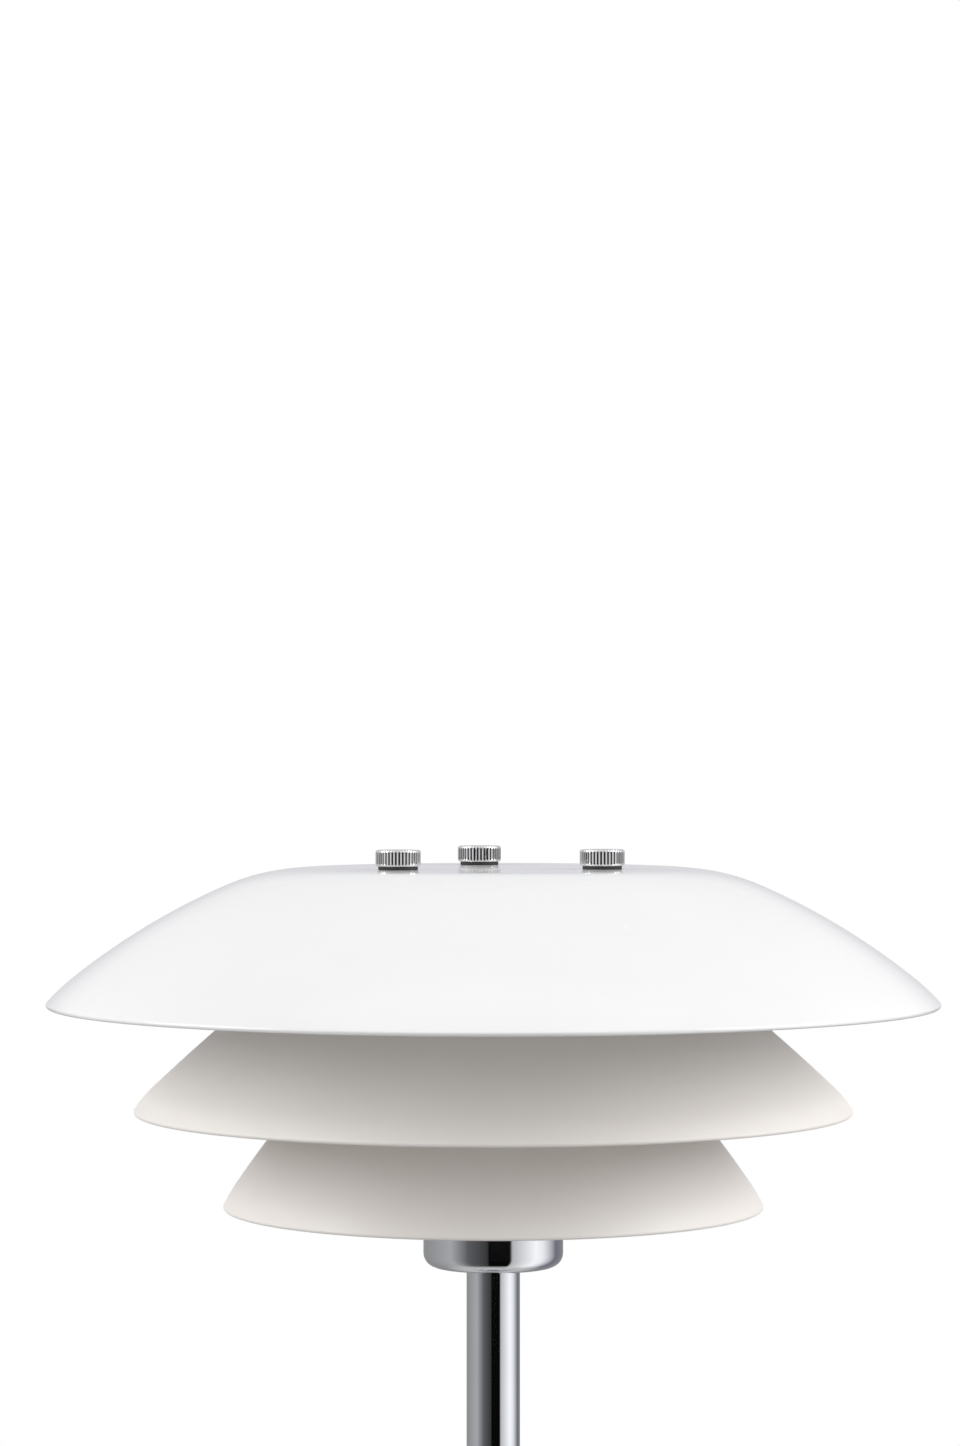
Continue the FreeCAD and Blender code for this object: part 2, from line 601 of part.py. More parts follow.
def lampholder_base():
    """Moulded neck and dish. The neck screws on to the nipple, and two posts take the ceramic's screws."""
    outer = sleeve_radius - RUNNING_GAP
    floor_z = dish_z + HOLDER_WALL
    body = cylinder(NECK_RADIUS, neck_z, floor_z).fuse(cylinder(outer, dish_z, sleeve_z)).removeSplitter()
    body = body.cut(cylinder(outer - HOLDER_WALL, floor_z, sleeve_z + 1))
    body = body.cut(cylinder(NIPPLE_RADIUS + RUNNING_GAP, neck_z - 1, floor_z + 1))
    for y in (-CORE_SCREW_OFFSET, CORE_SCREW_OFFSET):
        body = body.fuse(cylinder(CORE_SCREW_HEAD_RADIUS, floor_z - HOLDER_WALL / 2, core_z, 0, y))
        body = body.cut(cylinder(CORE_SCREW_RADIUS + RUNNING_GAP, floor_z, core_z + 1, 0, y))
    return body.removeSplitter()


def lampholder_sleeve():
    """Sleeve with the flange that the spider is clamped on."""
    inner = core_radius + LOOSE_GAP
    tube = ring(sleeve_radius, inner, sleeve_z, sleeve_top_z)
    flange = ring(flange_radius, inner, spider_z - SLEEVE_FLANGE_THICKNESS, spider_z)
    return tube.fuse(flange).removeSplitter()


def shade_ring():
    """Ring nut that clamps the spider, notched for the fingers."""
    high = spider_top_z + RING_HEIGHT
    return notched(ring(ring_radius, sleeve_radius + RUNNING_GAP, spider_top_z, high), RING_NOTCHES,
                   RING_NOTCH_RADIUS, ring_radius, spider_top_z, high)


def lampholder_core():
    """Ceramic insert with a slot for each contact clip, a way up for each wire and two fixing holes."""
    body = cylinder(core_radius, core_z, core_top_z)
    half_x = PIN_RADIUS + CLIP_LEAF + 2 * RUNNING_GAP
    half_y = CLIP_WIDTH / 2 + RUNNING_GAP
    for side in (-1, 1):
        x = side * PIN_SPACING / 2
        body = body.cut(box(x - half_x, x + half_x, -half_y, half_y, clip_z, core_top_z + 1))
        body = body.cut(cylinder(CONDUCTOR_RADIUS + LOOSE_GAP, core_z - 1, clip_z + 1, x, 0))
    for y in (-CORE_SCREW_OFFSET, CORE_SCREW_OFFSET):
        recess_z = core_top_z - CORE_SCREW_HEAD
        body = body.cut(cylinder(CORE_SCREW_RADIUS + LOOSE_GAP, core_z - 1, core_top_z + 1, 0, y))
        body = body.cut(cylinder(CORE_SCREW_HEAD_RADIUS + LOOSE_GAP, recess_z, core_top_z + 1, 0, y))
    return body


def lampholder_screws():
    screws = []
    for y in (-CORE_SCREW_OFFSET, CORE_SCREW_OFFSET):
        head = cylinder(CORE_SCREW_HEAD_RADIUS, core_top_z - CORE_SCREW_HEAD, core_top_z, 0, y)
        shank = cylinder(CORE_SCREW_RADIUS, core_z - CORE_SCREW_GRIP, core_top_z, 0, y)
        slot = box(-CORE_SCREW_HEAD_RADIUS, CORE_SCREW_HEAD_RADIUS, y - CORE_SCREW_SLOT / 2,
                   y + CORE_SCREW_SLOT / 2, core_top_z - CORE_SCREW_SLOT, core_top_z + 1)
        screws.append(head.fuse(shank).removeSplitter().cut(slot))
    return Part.makeCompound(screws)


def contact_clips():
    """Two folded strips. The leaves of each grip a pin of the bulb."""
    leaf_in = PIN_RADIUS + RUNNING_GAP
    leaf_out = leaf_in + CLIP_LEAF
    half_y = CLIP_WIDTH / 2
    clips = []
    for side in (-1, 1):
        x = side * PIN_SPACING / 2
        strip = box(x - leaf_out, x + leaf_out, -half_y, half_y, clip_z, core_top_z - CLIP_INSET)
        between = box(x - leaf_in, x + leaf_in, -CLIP_WIDTH, CLIP_WIDTH, clip_z + CLIP_LEAF, core_top_z)
        clips.append(strip.cut(between))
    return Part.makeCompound(clips)


# ---------------------------------------------------------------- bulb
def bulb_foot():
    """Ceramic foot that stands on the lampholder, with the spigot that the envelope is cemented on."""
    spigot_radius = BULB_RADIUS - BULB_WALL - RUNNING_GAP
    spigot_z = bulb_glass_z + BULB_SPIGOT
    waist_z = core_top_z + (BULB_FOOT_HEIGHT - BULB_WAIST_HEIGHT) / 2
    spigot = cylinder(spigot_radius, bulb_glass_z, spigot_z)
    waist = ring(BULB_RADIUS + 1, BULB_RADIUS - BULB_WAIST_DEPTH, waist_z, waist_z + BULB_WAIST_HEIGHT)
    body = cylinder(BULB_RADIUS, core_top_z, bulb_glass_z).fuse(spigot).removeSplitter().cut(waist)
    for side in (-1, 1):
        body = body.cut(cylinder(PIN_RADIUS + RUNNING_GAP, core_top_z - 1, core_top_z + PIN_ROOT,
                                 side * PIN_SPACING / 2, 0))
    half_x = BOARD_WIDTH / 2 + RUNNING_GAP
    half_y = BOARD_THICKNESS / 2 + RUNNING_GAP
    return body.cut(box(-half_x, half_x, -half_y, half_y, bulb_glass_z, spigot_z + 1))


def bulb_envelope():
    """Frosted capsule: a tube with a round end."""
    inner = BULB_RADIUS - BULB_WALL
    centre = point(0, bulb_glass_z + BULB_LENGTH - BULB_RADIUS)
    return spin([line(point(inner, bulb_glass_z), point(BULB_RADIUS, bulb_glass_z)),
                 line(point(BULB_RADIUS, bulb_glass_z), point(BULB_RADIUS, centre.z)),
                 arc(centre, BULB_RADIUS, 90, 0),
                 line(point(0, centre.z + BULB_RADIUS), point(0, centre.z + inner)),
                 arc(centre, inner, 0, 90),
                 line(point(inner, centre.z), point(inner, bulb_glass_z))])


def bulb_pins():
    return Part.makeCompound([cylinder(PIN_RADIUS, core_top_z - PIN_LENGTH, core_top_z + PIN_ROOT,
                                       side * PIN_SPACING / 2, 0) for side in (-1, 1)])


def bulb_light_board():
    return box(-BOARD_WIDTH / 2, BOARD_WIDTH / 2, -BOARD_THICKNESS / 2, BOARD_THICKNESS / 2, bulb_glass_z,
               bulb_glass_z + BOARD_LENGTH)


# ---------------------------------------------------------------- spider, rods, spacers and soft washers
def spider():
    """Flat carrier: a hub that fits over the sleeve and an arm out to each rod."""
    body = cylinder(ring_radius + SPIDER_HUB_MARGIN, spider_z, spider_top_z)
    half = SPIDER_ARM_WIDTH / 2
    for index, (_, x, y) in enumerate(rod_places()):
        arm = box(0, ROD_CIRCLE_RADIUS, -half, half, spider_z, spider_top_z)
        arm.rotate(FreeCAD.Vector(0, 0, 0), FreeCAD.Vector(0, 0, 1), FIRST_ROD_ANGLE + 120 * index)
        body = body.fuse([arm, cylinder(half, spider_z, spider_top_z, x, y)])
    body = body.removeSplitter().cut(cylinder(sleeve_radius + LOOSE_GAP, spider_z - 1, spider_top_z + 1))
    for _, x, y in rod_places():
        body = body.cut(cylinder(rod_hole, spider_z - 1, spider_top_z + 1, x, y))
    return body


def shade_rod(x, y):
    return cylinder(ROD_RADIUS, rod_low_z, rod_high_z, x, y)


def rod_nuts():
    return at_rods(lambda x, y: nut(ROD_NUT_FLATS, ROD_RADIUS + RUNNING_GAP, rod_nut_z, spider_z, x, y))


def crown_faces(shade):
    """Heights of the underside and the upper face of a shade's crown."""
    upper = head_z - shade.crown_drop
    return upper - SHADE_WALL, upper


def spacer_rows():
    """(name, low, high) of the three rows of spacer sleeves, between the soft washers."""
    bottom_under, bottom_upper = crown_faces(BOTTOM_SHADE)
    middle_under, middle_upper = crown_faces(MIDDLE_SHADE)
    top_under, _ = crown_faces(TOP_SHADE)
    washer = SOFT_WASHER_THICKNESS
    return [("lower", spider_top_z, bottom_under - washer),
            ("middle", bottom_upper + washer, middle_under - washer),
            ("upper", middle_upper + washer, top_under - washer)]


def spacer(low, high, x, y):
    return ring(SPACER_RADIUS, rod_hole, low, high, x, y)


def soft_washers(shade):
    """Soft washers under a shade's crown, and over it too where a spacer stands on it."""
    under, upper = crown_faces(shade)
    lows = [under - SOFT_WASHER_THICKNESS]
    if shade.open_crown:
        lows.append(upper)
    return Part.makeCompound([ring(SOFT_WASHER_RADIUS, rod_hole, low, low + SOFT_WASHER_THICKNESS, x, y)
                              for low in lows for _, x, y in rod_places()])


# ---------------------------------------------------------------- thumb nuts
def ribbed_prism():
    """A prism as wide and as high as a thumb nut, with straight ribs round it."""
    pitch = 2 * math.pi / KNURL_COUNT
    root = THUMB_NUT_RADIUS - KNURL_DEPTH
    land_end = KNURL_LAND / 2
    groove_start = 0.5 - KNURL_ROOT / 2
    groove_end = 0.5 + KNURL_ROOT / 2
    corners = []
    for rib in range(KNURL_COUNT):
        for share, radius in ((-land_end, THUMB_NUT_RADIUS), (land_end, THUMB_NUT_RADIUS),
                              (groove_start, root), (groove_end, root)):
            angle = pitch * (rib + share)
            corners.append(FreeCAD.Vector(radius * math.cos(angle), radius * math.sin(angle), nut_seat_z))
    corners.append(corners[0])
    return Part.Face(Part.makePolygon(corners)).extrude(FreeCAD.Vector(0, 0, THUMB_NUT_HEIGHT))


def rounded_disc():
    """A disc as wide and as high as a thumb nut, with rounded edges."""
    high = nut_seat_z + THUMB_NUT_HEIGHT
    inner = THUMB_NUT_RADIUS - THUMB_NUT_ROUND
    upper = point(inner, high - THUMB_NUT_ROUND)
    lower = point(inner, nut_seat_z + THUMB_NUT_ROUND)
    return spin([line(point(0, nut_seat_z), point(inner, nut_seat_z)),
                 arc(lower, THUMB_NUT_ROUND, 180, 90),
                 line(point(THUMB_NUT_RADIUS, lower.z), point(THUMB_NUT_RADIUS, upper.z)),
                 arc(upper, THUMB_NUT_ROUND, 90, 0),
                 line(point(inner, high), point(0, high)),
                 line(point(0, high), point(0, nut_seat_z))])


def thumb_nut(x, y):
    """Knurled cap, blind at the top, bored from below for its threaded insert."""
    bore = cylinder(INSERT_RADIUS + RUNNING_GAP, nut_seat_z - 1, nut_seat_z + INSERT_HEIGHT + RUNNING_GAP)
    cap = ribbed_prism().common(rounded_disc()).cut(bore)
    cap.translate(FreeCAD.Vector(x, y, 0))
    return cap


def thumb_nut_insert(x, y):
    return ring(INSERT_RADIUS, ROD_RADIUS + RUNNING_GAP, nut_seat_z, nut_seat_z + INSERT_HEIGHT, x, y)


def thumb_nut_washer(x, y):
    return ring(NUT_WASHER_RADIUS, rod_hole, head_z, nut_seat_z, x, y)


# ---------------------------------------------------------------- the whole lamp
def all_pieces():
    """(node name, shape) of every piece."""
    pieces = [("felt_pad", felt_pad()), ("base_plate", base_plate()),
              ("base_plate_screws", base_plate_screws()), ("ballast", ballast()),
              ("base_cover", base_cover()), ("cable_outlet_bush", cable_outlet_bush()),
              ("terminal_block", terminal_block()), ("terminal_inserts", terminal_inserts()),
              ("terminal_screws", terminal_screws()), ("terminal_block_screw", terminal_block_screw()),
              ("live_wire", inner_wire(-1)), ("neutral_wire", inner_wire(1)),
              ("stem_nut", stem_nut()), ("stem_washer", stem_washer()), ("lower_nipple", lower_nipple()),
              ("stem_tube", stem_tube()), ("upper_nipple", upper_nipple()), ("holder_cup", holder_cup()),
              ("lock_washer", lock_washer()), ("lock_nut", lock_nut()),
              ("lampholder_base", lampholder_base()), ("lampholder_sleeve", lampholder_sleeve()),
              ("lampholder_core", lampholder_core()),
              ("lampholder_screws", lampholder_screws()), ("contact_clips", contact_clips()),
              ("shade_ring", shade_ring()), ("bulb_foot", bulb_foot()), ("bulb_envelope", bulb_envelope()),
              ("bulb_pins", bulb_pins()), ("bulb_light_board", bulb_light_board()),
              ("spider", spider()), ("rod_nuts", rod_nuts()),
              ("bottom_shade", shade_shell(BOTTOM_SHADE)), ("middle_shade", shade_shell(MIDDLE_SHADE)),
              ("top_shade", shade_shell(TOP_SHADE)), ("bottom_shade_washers", soft_washers(BOTTOM_SHADE)),
              ("middle_shade_washers", soft_washers(MIDDLE_SHADE)),
              ("top_shade_washers", soft_washers(TOP_SHADE))]
    for name, x, y in rod_places():
        pieces.append((f"shade_rod_{name}", shade_rod(x, y)))
        for row, low, high in spacer_rows():
            pieces.append((f"{row}_spacer_{name}", spacer(low, high, x, y)))
        pieces.append((f"thumb_nut_washer_{name}", thumb_nut_washer(x, y)))
        pieces.append((f"thumb_nut_insert_{name}", thumb_nut_insert(x, y)))
        pieces.append((f"thumb_nut_{name}", thumb_nut(x, y)))
    return pieces


def main():
    os.makedirs("parts", exist_ok=True)
    for name, shape in all_pieces():
        shape.exportStep(f"parts/{name}.step")
        print(f"{name:24s} solids {len(shape.Solids)}  volume {shape.Volume:.2f}  valid {shape.isValid()}")


main()
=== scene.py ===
"""Looks of a table lamp with three stacked shades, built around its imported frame.

Shapes are worked out in millimetres as whole arrays and go into the meshes in metres. A piece takes its
place and height from the frame's own node, and the sizes that a node's box doesn't give are fields of the
class that makes the piece.
"""
import logging
import math
from collections.abc import Callable, Sequence
from dataclasses import dataclass
from enum import Enum
from typing import Any

import bmesh
import bpy
import numpy as np
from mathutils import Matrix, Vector


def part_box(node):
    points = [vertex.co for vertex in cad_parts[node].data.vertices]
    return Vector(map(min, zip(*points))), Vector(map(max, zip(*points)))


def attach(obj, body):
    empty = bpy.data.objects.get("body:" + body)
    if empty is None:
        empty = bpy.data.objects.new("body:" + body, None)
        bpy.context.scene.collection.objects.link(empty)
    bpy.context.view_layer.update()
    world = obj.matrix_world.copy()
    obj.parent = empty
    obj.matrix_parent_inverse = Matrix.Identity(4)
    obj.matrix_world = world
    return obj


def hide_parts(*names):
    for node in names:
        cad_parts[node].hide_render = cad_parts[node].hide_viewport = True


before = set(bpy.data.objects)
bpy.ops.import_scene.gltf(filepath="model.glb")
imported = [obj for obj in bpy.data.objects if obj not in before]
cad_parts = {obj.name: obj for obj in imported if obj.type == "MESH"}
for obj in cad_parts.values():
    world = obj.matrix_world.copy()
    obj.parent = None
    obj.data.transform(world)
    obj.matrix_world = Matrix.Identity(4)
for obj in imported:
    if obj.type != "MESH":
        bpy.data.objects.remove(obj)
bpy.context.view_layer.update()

log = logging.getLogger("lamp")

MM = 0.001
COLUMNS = 240                 # points round a large turned piece
SMALL_COLUMNS = 96            # points round a small one
ROUND_STEPS = 6               # steps in a rounded corner
PATCH_ROWS = 4                # rows of faces round a drilled hole
HOLD_MM = 0.25                # a long run gets a point this far from each end, which keeps its shading straight
MERGE_MM = 0.0004             # points closer than this are one
SHARP_DEGREES = 34.0          # an edge that turns by more stays crisp


# ---------------------------------------------------------------- surfaces
@dataclass
class Surface:
    """Points in millimetres, and blocks of faces that number them."""

    points: np.ndarray
    faces: list[np.ndarray]

    def __add__(self, other: "Surface") -> "Surface":
        """Both surfaces as one."""
        shifted = [block + len(self.points) for block in other.faces]
        return Surface(np.vstack([self.points, other.points]), self.faces + shifted)

    def placed(self, x: float, y: float) -> "Surface":
        """The surface moved across the table."""
        return Surface(self.points + np.array([x, y, 0.0]), self.faces)

    def facing_back(self, height: float) -> "Surface":
        """The surface laid over so that its Z runs along +Y, with its axis at a height: (x, z, height - y)."""
        x, y, z = self.points.T
        return Surface(np.column_stack([x, z, height - y]), self.faces)


def joined(surfaces: Sequence[Surface]) -> Surface:
    """Several surfaces as one.

    Args:
        surfaces: the surfaces, at least one.

    Returns:
        The surface of them all.
    """
    total = surfaces[0]
    for surface in surfaces[1:]:
        total = total + surface
    return total


def grid(points: np.ndarray, wrap_rows: bool = False, wrap_columns: bool = True,
         keep: np.ndarray | None = None) -> Surface:
    """Quads over rows and columns of points.

    Args:
        points: rows by columns by 3.
        wrap_rows: whether the last row meets the first.
        wrap_columns: whether the last column meets the first.
        keep: which quads stay, or None for all.

    Returns:
        The surface.
    """
    rows, columns = points.shape[:2]
    number = np.arange(rows * columns).reshape(rows, columns)
    if wrap_rows:
        number = np.vstack([number, number[:1]])
    if wrap_columns:
        number = np.hstack([number, number[:, :1]])
    quads = np.stack([number[:-1, :-1], number[:-1, 1:], number[1:, 1:], number[1:, :-1]], axis=-1)
    quads = quads.reshape(-1, 4) if keep is None else quads[keep]
    return Surface(points.reshape(-1, 3), [quads])


def ruled(start: np.ndarray, end: np.ndarray, steps: int) -> np.ndarray:
    """Rows between two loops of as many points: (1 - s) start + s end, with s from 0 to 1."""
    share = np.linspace(0.0, 1.0, steps + 1)[:, None, None]
    return start[None] * (1.0 - share) + end[None] * share


def around(columns: int, first: float = 0.0) -> np.ndarray:
    """Even angles round a circle in radians, from a first angle in degrees."""
    return math.radians(first) + np.arange(columns) * 2.0 * math.pi / columns


def arc(centre: np.ndarray, radius: float, start: float, end: float, steps: int,
        ease: float = 1.0) -> np.ndarray:
    """Part of a circle in the half plane: (x + r sin s, z + r cos s) for slopes s from start to end.

    Args:
        centre: (x, z).
        radius: r.
        start: first slope in degrees, where 0 is straight up and 90 straight out.
        end: last slope.
        steps: number of steps.
        ease: above 1 the steps are finer near the start.

    Returns:
        Rows of (radius, height).
    """
    slopes = np.radians(start + (end - start) * np.linspace(0.0, 1.0, steps + 1) ** ease)
    return np.asarray(centre) + radius * np.column_stack([np.sin(slopes), np.cos(slopes)])


def held(outline: np.ndarray, closed: bool) -> np.ndarray:
    """The outline with a point near each end of every long run, on the run.

    Args:
        outline: rows of (radius, height).
        closed: whether the last point meets the first.

    Returns:
        The outline with its new points.
    """
    after = np.roll(outline, -1, axis=0) if closed else outline[1:]
    before = outline[:len(after)]
    length = np.linalg.norm(after - before, axis=1)
    long_runs = np.flatnonzero(length > 4.0 * HOLD_MM)
    step = (after - before)[long_runs] / length[long_runs, None] * HOLD_MM
    extra = np.stack([before[long_runs] + step, after[long_runs] - step], axis=1).reshape(-1, 2)
    return np.insert(outline, np.repeat(long_runs + 1, 2), extra, axis=0)


def rounded(*corners: tuple[float, float, float], closed: bool = True) -> np.ndarray:
    """An outline with rounded corners.

    At a corner P with unit directions u and v to its neighbours, h is half the angle between them. The arc of
    radius r starts at P + u r / tan h and ends at P + v r / tan h, about P + (u + v) / |u + v| * r / sin h.

    Args:
        corners: (radius, height, rounding) of each corner.
        closed: whether the last corner meets the first.

    Returns:
        Rows of (radius, height).
    """
    places = np.array([corner[:2] for corner in corners])
    runs = []
    for index, (_, _, radius) in enumerate(corners):
        place = places[index]
        if radius == 0.0:
            runs.append(place[None])
            continue
        to_last = places[index - 1] - place
        to_next = places[(index + 1) % len(corners)] - place
        to_last /= np.linalg.norm(to_last)
        to_next /= np.linalg.norm(to_next)
        half = math.acos(float(np.clip(to_last @ to_next, -1.0, 1.0))) / 2.0
        middle = (to_last + to_next) / np.linalg.norm(to_last + to_next)
        centre = place + middle * radius / math.sin(half)
        first = place + to_last * radius / math.tan(half) - centre
        last = place + to_next * radius / math.tan(half) - centre
        sweep = math.atan2(first[0] * last[1] - first[1] * last[0], float(first @ last))
        angles = math.atan2(first[1], first[0]) + np.linspace(0.0, sweep, ROUND_STEPS + 1)
        runs.append(centre + radius * np.column_stack([np.cos(angles), np.sin(angles)]))
    return held(np.vstack(runs), closed)


def turned_points(profile: np.ndarray, angles: np.ndarray,
                  limit: Callable[[np.ndarray, np.ndarray], np.ndarray] | None = None) -> np.ndarray:
    """A profile turned about Z: point (i, j) is (r cos a_j, r sin a_j, h_i).

    Args:
        profile: rows of (radius, height).
        angles: a_j in radians.
        limit: gives the largest radius at (angle, height), for ribs, flats and threads, and r is the smaller of
            it and the profile's radius.

    Returns:
        Rows by columns by 3.
    """
    heights = np.repeat(profile[:, 1:], len(angles), axis=1)
    radii = np.repeat(profile[:, :1], len(angles), axis=1)
    if limit is not None:
        radii = np.minimum(radii, limit(np.broadcast_to(angles, heights.shape), heights))
    return np.stack([radii * np.cos(angles), radii * np.sin(angles), heights], axis=-1)


def turned(profile: np.ndarray, angles: np.ndarray, closed: bool = True,
           limit: Callable[[np.ndarray, np.ndarray], np.ndarray] | None = None) -> Surface:
    """The surface of a turned profile. See turned_points."""
    return grid(turned_points(profile, angles, limit), wrap_rows=closed)


@dataclass(frozen=True)
class Hole:
    """A round hole in a wrapped grid: its centre and radius, and the rows and columns it takes away.

    lift sets the third coordinate of the points round the hole, and is None where the sheet is flat.
    """

    centre: tuple[float, float]
    radius: float
    rows: tuple[int, int]
    columns: tuple[int, int]
    lift: Callable[[np.ndarray], np.ndarray] | None = None

    def edge(self, points: np.ndarray) -> np.ndarray:
        """The loop of grid points round the block that the hole takes away.

        Args:
            points: the grid.

        Returns:
            The loop's points, rows of (x, y, z).
        """
        (top, low), (left, right) = self.rows, self.columns
        down = 1 if low > top else -1
        rows = np.arange(top, low, down)
        columns = np.arange(left, right)
        row = np.concatenate([np.full(len(columns), top), rows, np.full(len(columns), low), rows[::-1] + down])
        column = np.concatenate([columns, np.full(len(rows), right), columns[::-1] + 1, np.full(len(rows), left)])
        return points[row, column % points.shape[1]]


def drilled(points: np.ndarray, holes: Sequence[Hole], wrap_rows: bool,
            axes: tuple[int, int] = (0, 1)) -> tuple[Surface, list[np.ndarray]]:
    """A wrapped grid with round holes.

    Each hole's block of quads gives way to rows between the hole's circle and the block's edge. In the plane of
    the two axes a row is (1 - s) (c + r u) + s e, with e a point of the edge, c the hole's centre, r its radius
    and u the unit direction from c to e.

    Args:
        points: rows by columns by 3.
        holes: the holes.
        wrap_rows: whether the last row meets the first.
        axes: the two coordinates in which the holes are round.

    Returns:
        The surface, and each hole's rim.
    """
    rows, columns = points.shape[:2]
    keep = np.ones((rows if wrap_rows else rows - 1, columns), bool)
    patches, rims = [], []
    for hole in holes:
        top, low = sorted(hole.rows)
        keep[top:low, np.arange(*hole.columns) % columns] = False
        edge = hole.edge(points)
        away = edge[:, axes] - hole.centre
        rim = edge.copy()
        rim[:, axes] = hole.centre + hole.radius * away / np.linalg.norm(away, axis=1)[:, None]
        patch = ruled(rim, edge, PATCH_ROWS)
        if hole.lift is not None:
            patch[:-1] = hole.lift(patch[:-1])
        patches.append(grid(patch))
        rims.append(patch[0])
    return joined([grid(points, wrap_rows, keep=keep), *patches]), rims


# ---------------------------------------------------------------- pieces
def span(node: str) -> tuple[float, float]:
    """Lowest and highest point of a node, in millimetres."""
    low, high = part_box(node)
    return low.z / MM, high.z / MM


def middle(node: str) -> tuple[float, float]:
    """Centre of a node across the table, in millimetres."""
    low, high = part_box(node)
    return (low.x + high.x) / 2.0 / MM, (low.y + high.y) / 2.0 / MM


def clean(mesh: bpy.types.Mesh) -> int:
    """Merges seams and poles, drops loose points and turns the faces outwards.

    Args:
        mesh: the mesh to clean.

    Returns:
        The number of edges left open, which is 0 on a closed piece.
    """
    shell = bmesh.new()
    shell.from_mesh(mesh)
    bmesh.ops.remove_doubles(shell, verts=shell.verts, dist=MERGE_MM * MM)
    loose = [vertex for vertex in shell.verts if not vertex.link_faces]
    bmesh.ops.delete(shell, geom=loose, context="VERTS")
    bmesh.ops.recalc_face_normals(shell, faces=shell.faces)
    open_edges = sum(1 for edge in shell.edges if len(edge.link_faces) != 2)
    shell.to_mesh(mesh)
    shell.free()
    return open_edges


def make_piece(name: str, surface: Surface, finish: "Finish", body: str, slot: str,
               *nodes: str) -> bpy.types.Object:
    """Makes a piece of the lamp out of a surface.

    Args:
        name: the piece's name.
        surface: its shape in millimetres.
        finish: what it is made of.
        body: the body it rides on.
        slot: the record's material slot; not used.
        nodes: the nodes it stands for.

    Returns:
        The piece.
    """
    mesh = bpy.data.meshes.new(name)
    faces = [face for block in surface.faces for face in block.tolist()]
    mesh.from_pydata((surface.points * MM).tolist(), [], faces)
    open_edges = clean(mesh)
    mesh.shade_smooth()
    mesh.set_sharp_from_angle(angle=math.radians(SHARP_DEGREES))
    mesh.materials.append(finish.material())
    piece = bpy.data.objects.new(name, mesh)
    bpy.context.scene.collection.objects.link(piece)
    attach(piece, body)
    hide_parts(*nodes)
    log.info("%s: %d faces, %d open edges", name, len(mesh.polygons), open_edges)
    return piece


def dress(finish: "Finish", *nodes: str) -> None:
    """Gives nodes that keep their own shape a finish.

    Args:
        finish: the finish.
        nodes: the nodes' names.
    """
    for node in nodes:
        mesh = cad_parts[node].data
        mesh.materials.clear()
        mesh.materials.append(finish.material())
        log.info("%s: dressed in %s", node, finish.name)


# ---------------------------------------------------------------- finishes
def linear(colour: str) -> tuple[float, float, float, float]:
    """An sRGB hex colour as linear RGBA: c / 12.92 up to 0.04045, and ((c + 0.055) / 1.055) ** 2.4 above.

    Args:
        colour: the colour as #RRGGBB.

    Returns:
        Red, green, blue and an alpha of 1.
    """
    parts = [int(colour[place:place + 2], 16) / 255.0 for place in (1, 3, 5)]
    red, green, blue = (c / 12.92 if c <= 0.04045 else ((c + 0.055) / 1.055) ** 2.4 for c in parts)
    return red, green, blue, 1.0


def add_node(tree: bpy.types.NodeTree, kind: str, settings: dict[str, Any] | None = None,
             inputs: dict[str | int, Any] | None = None) -> bpy.types.Node:
    """Adds a node.

    Args:
        tree: where it goes.
        kind: its type's name.
        settings: its own properties. stops is a colour ramp's list of (place, colour).
        inputs: by name or number, a value or a socket to link from.

    Returns:
        The node.
    """
    node = tree.nodes.new(kind)
    for name, value in (settings or {}).items():
        if name != "stops":
            setattr(node, name, value)
            continue
        for place, colour in value[len(node.color_ramp.elements):]:
            node.color_ramp.elements.new(place)
        for element, (place, colour) in zip(node.color_ramp.elements, value):
            element.position = place
            element.color = linear(colour)
    for name, value in (inputs or {}).items():
        if isinstance(value, bpy.types.NodeSocket):
            tree.links.new(value, node.inputs[name])
        else:
            node.inputs[name].default_value = value
    return node


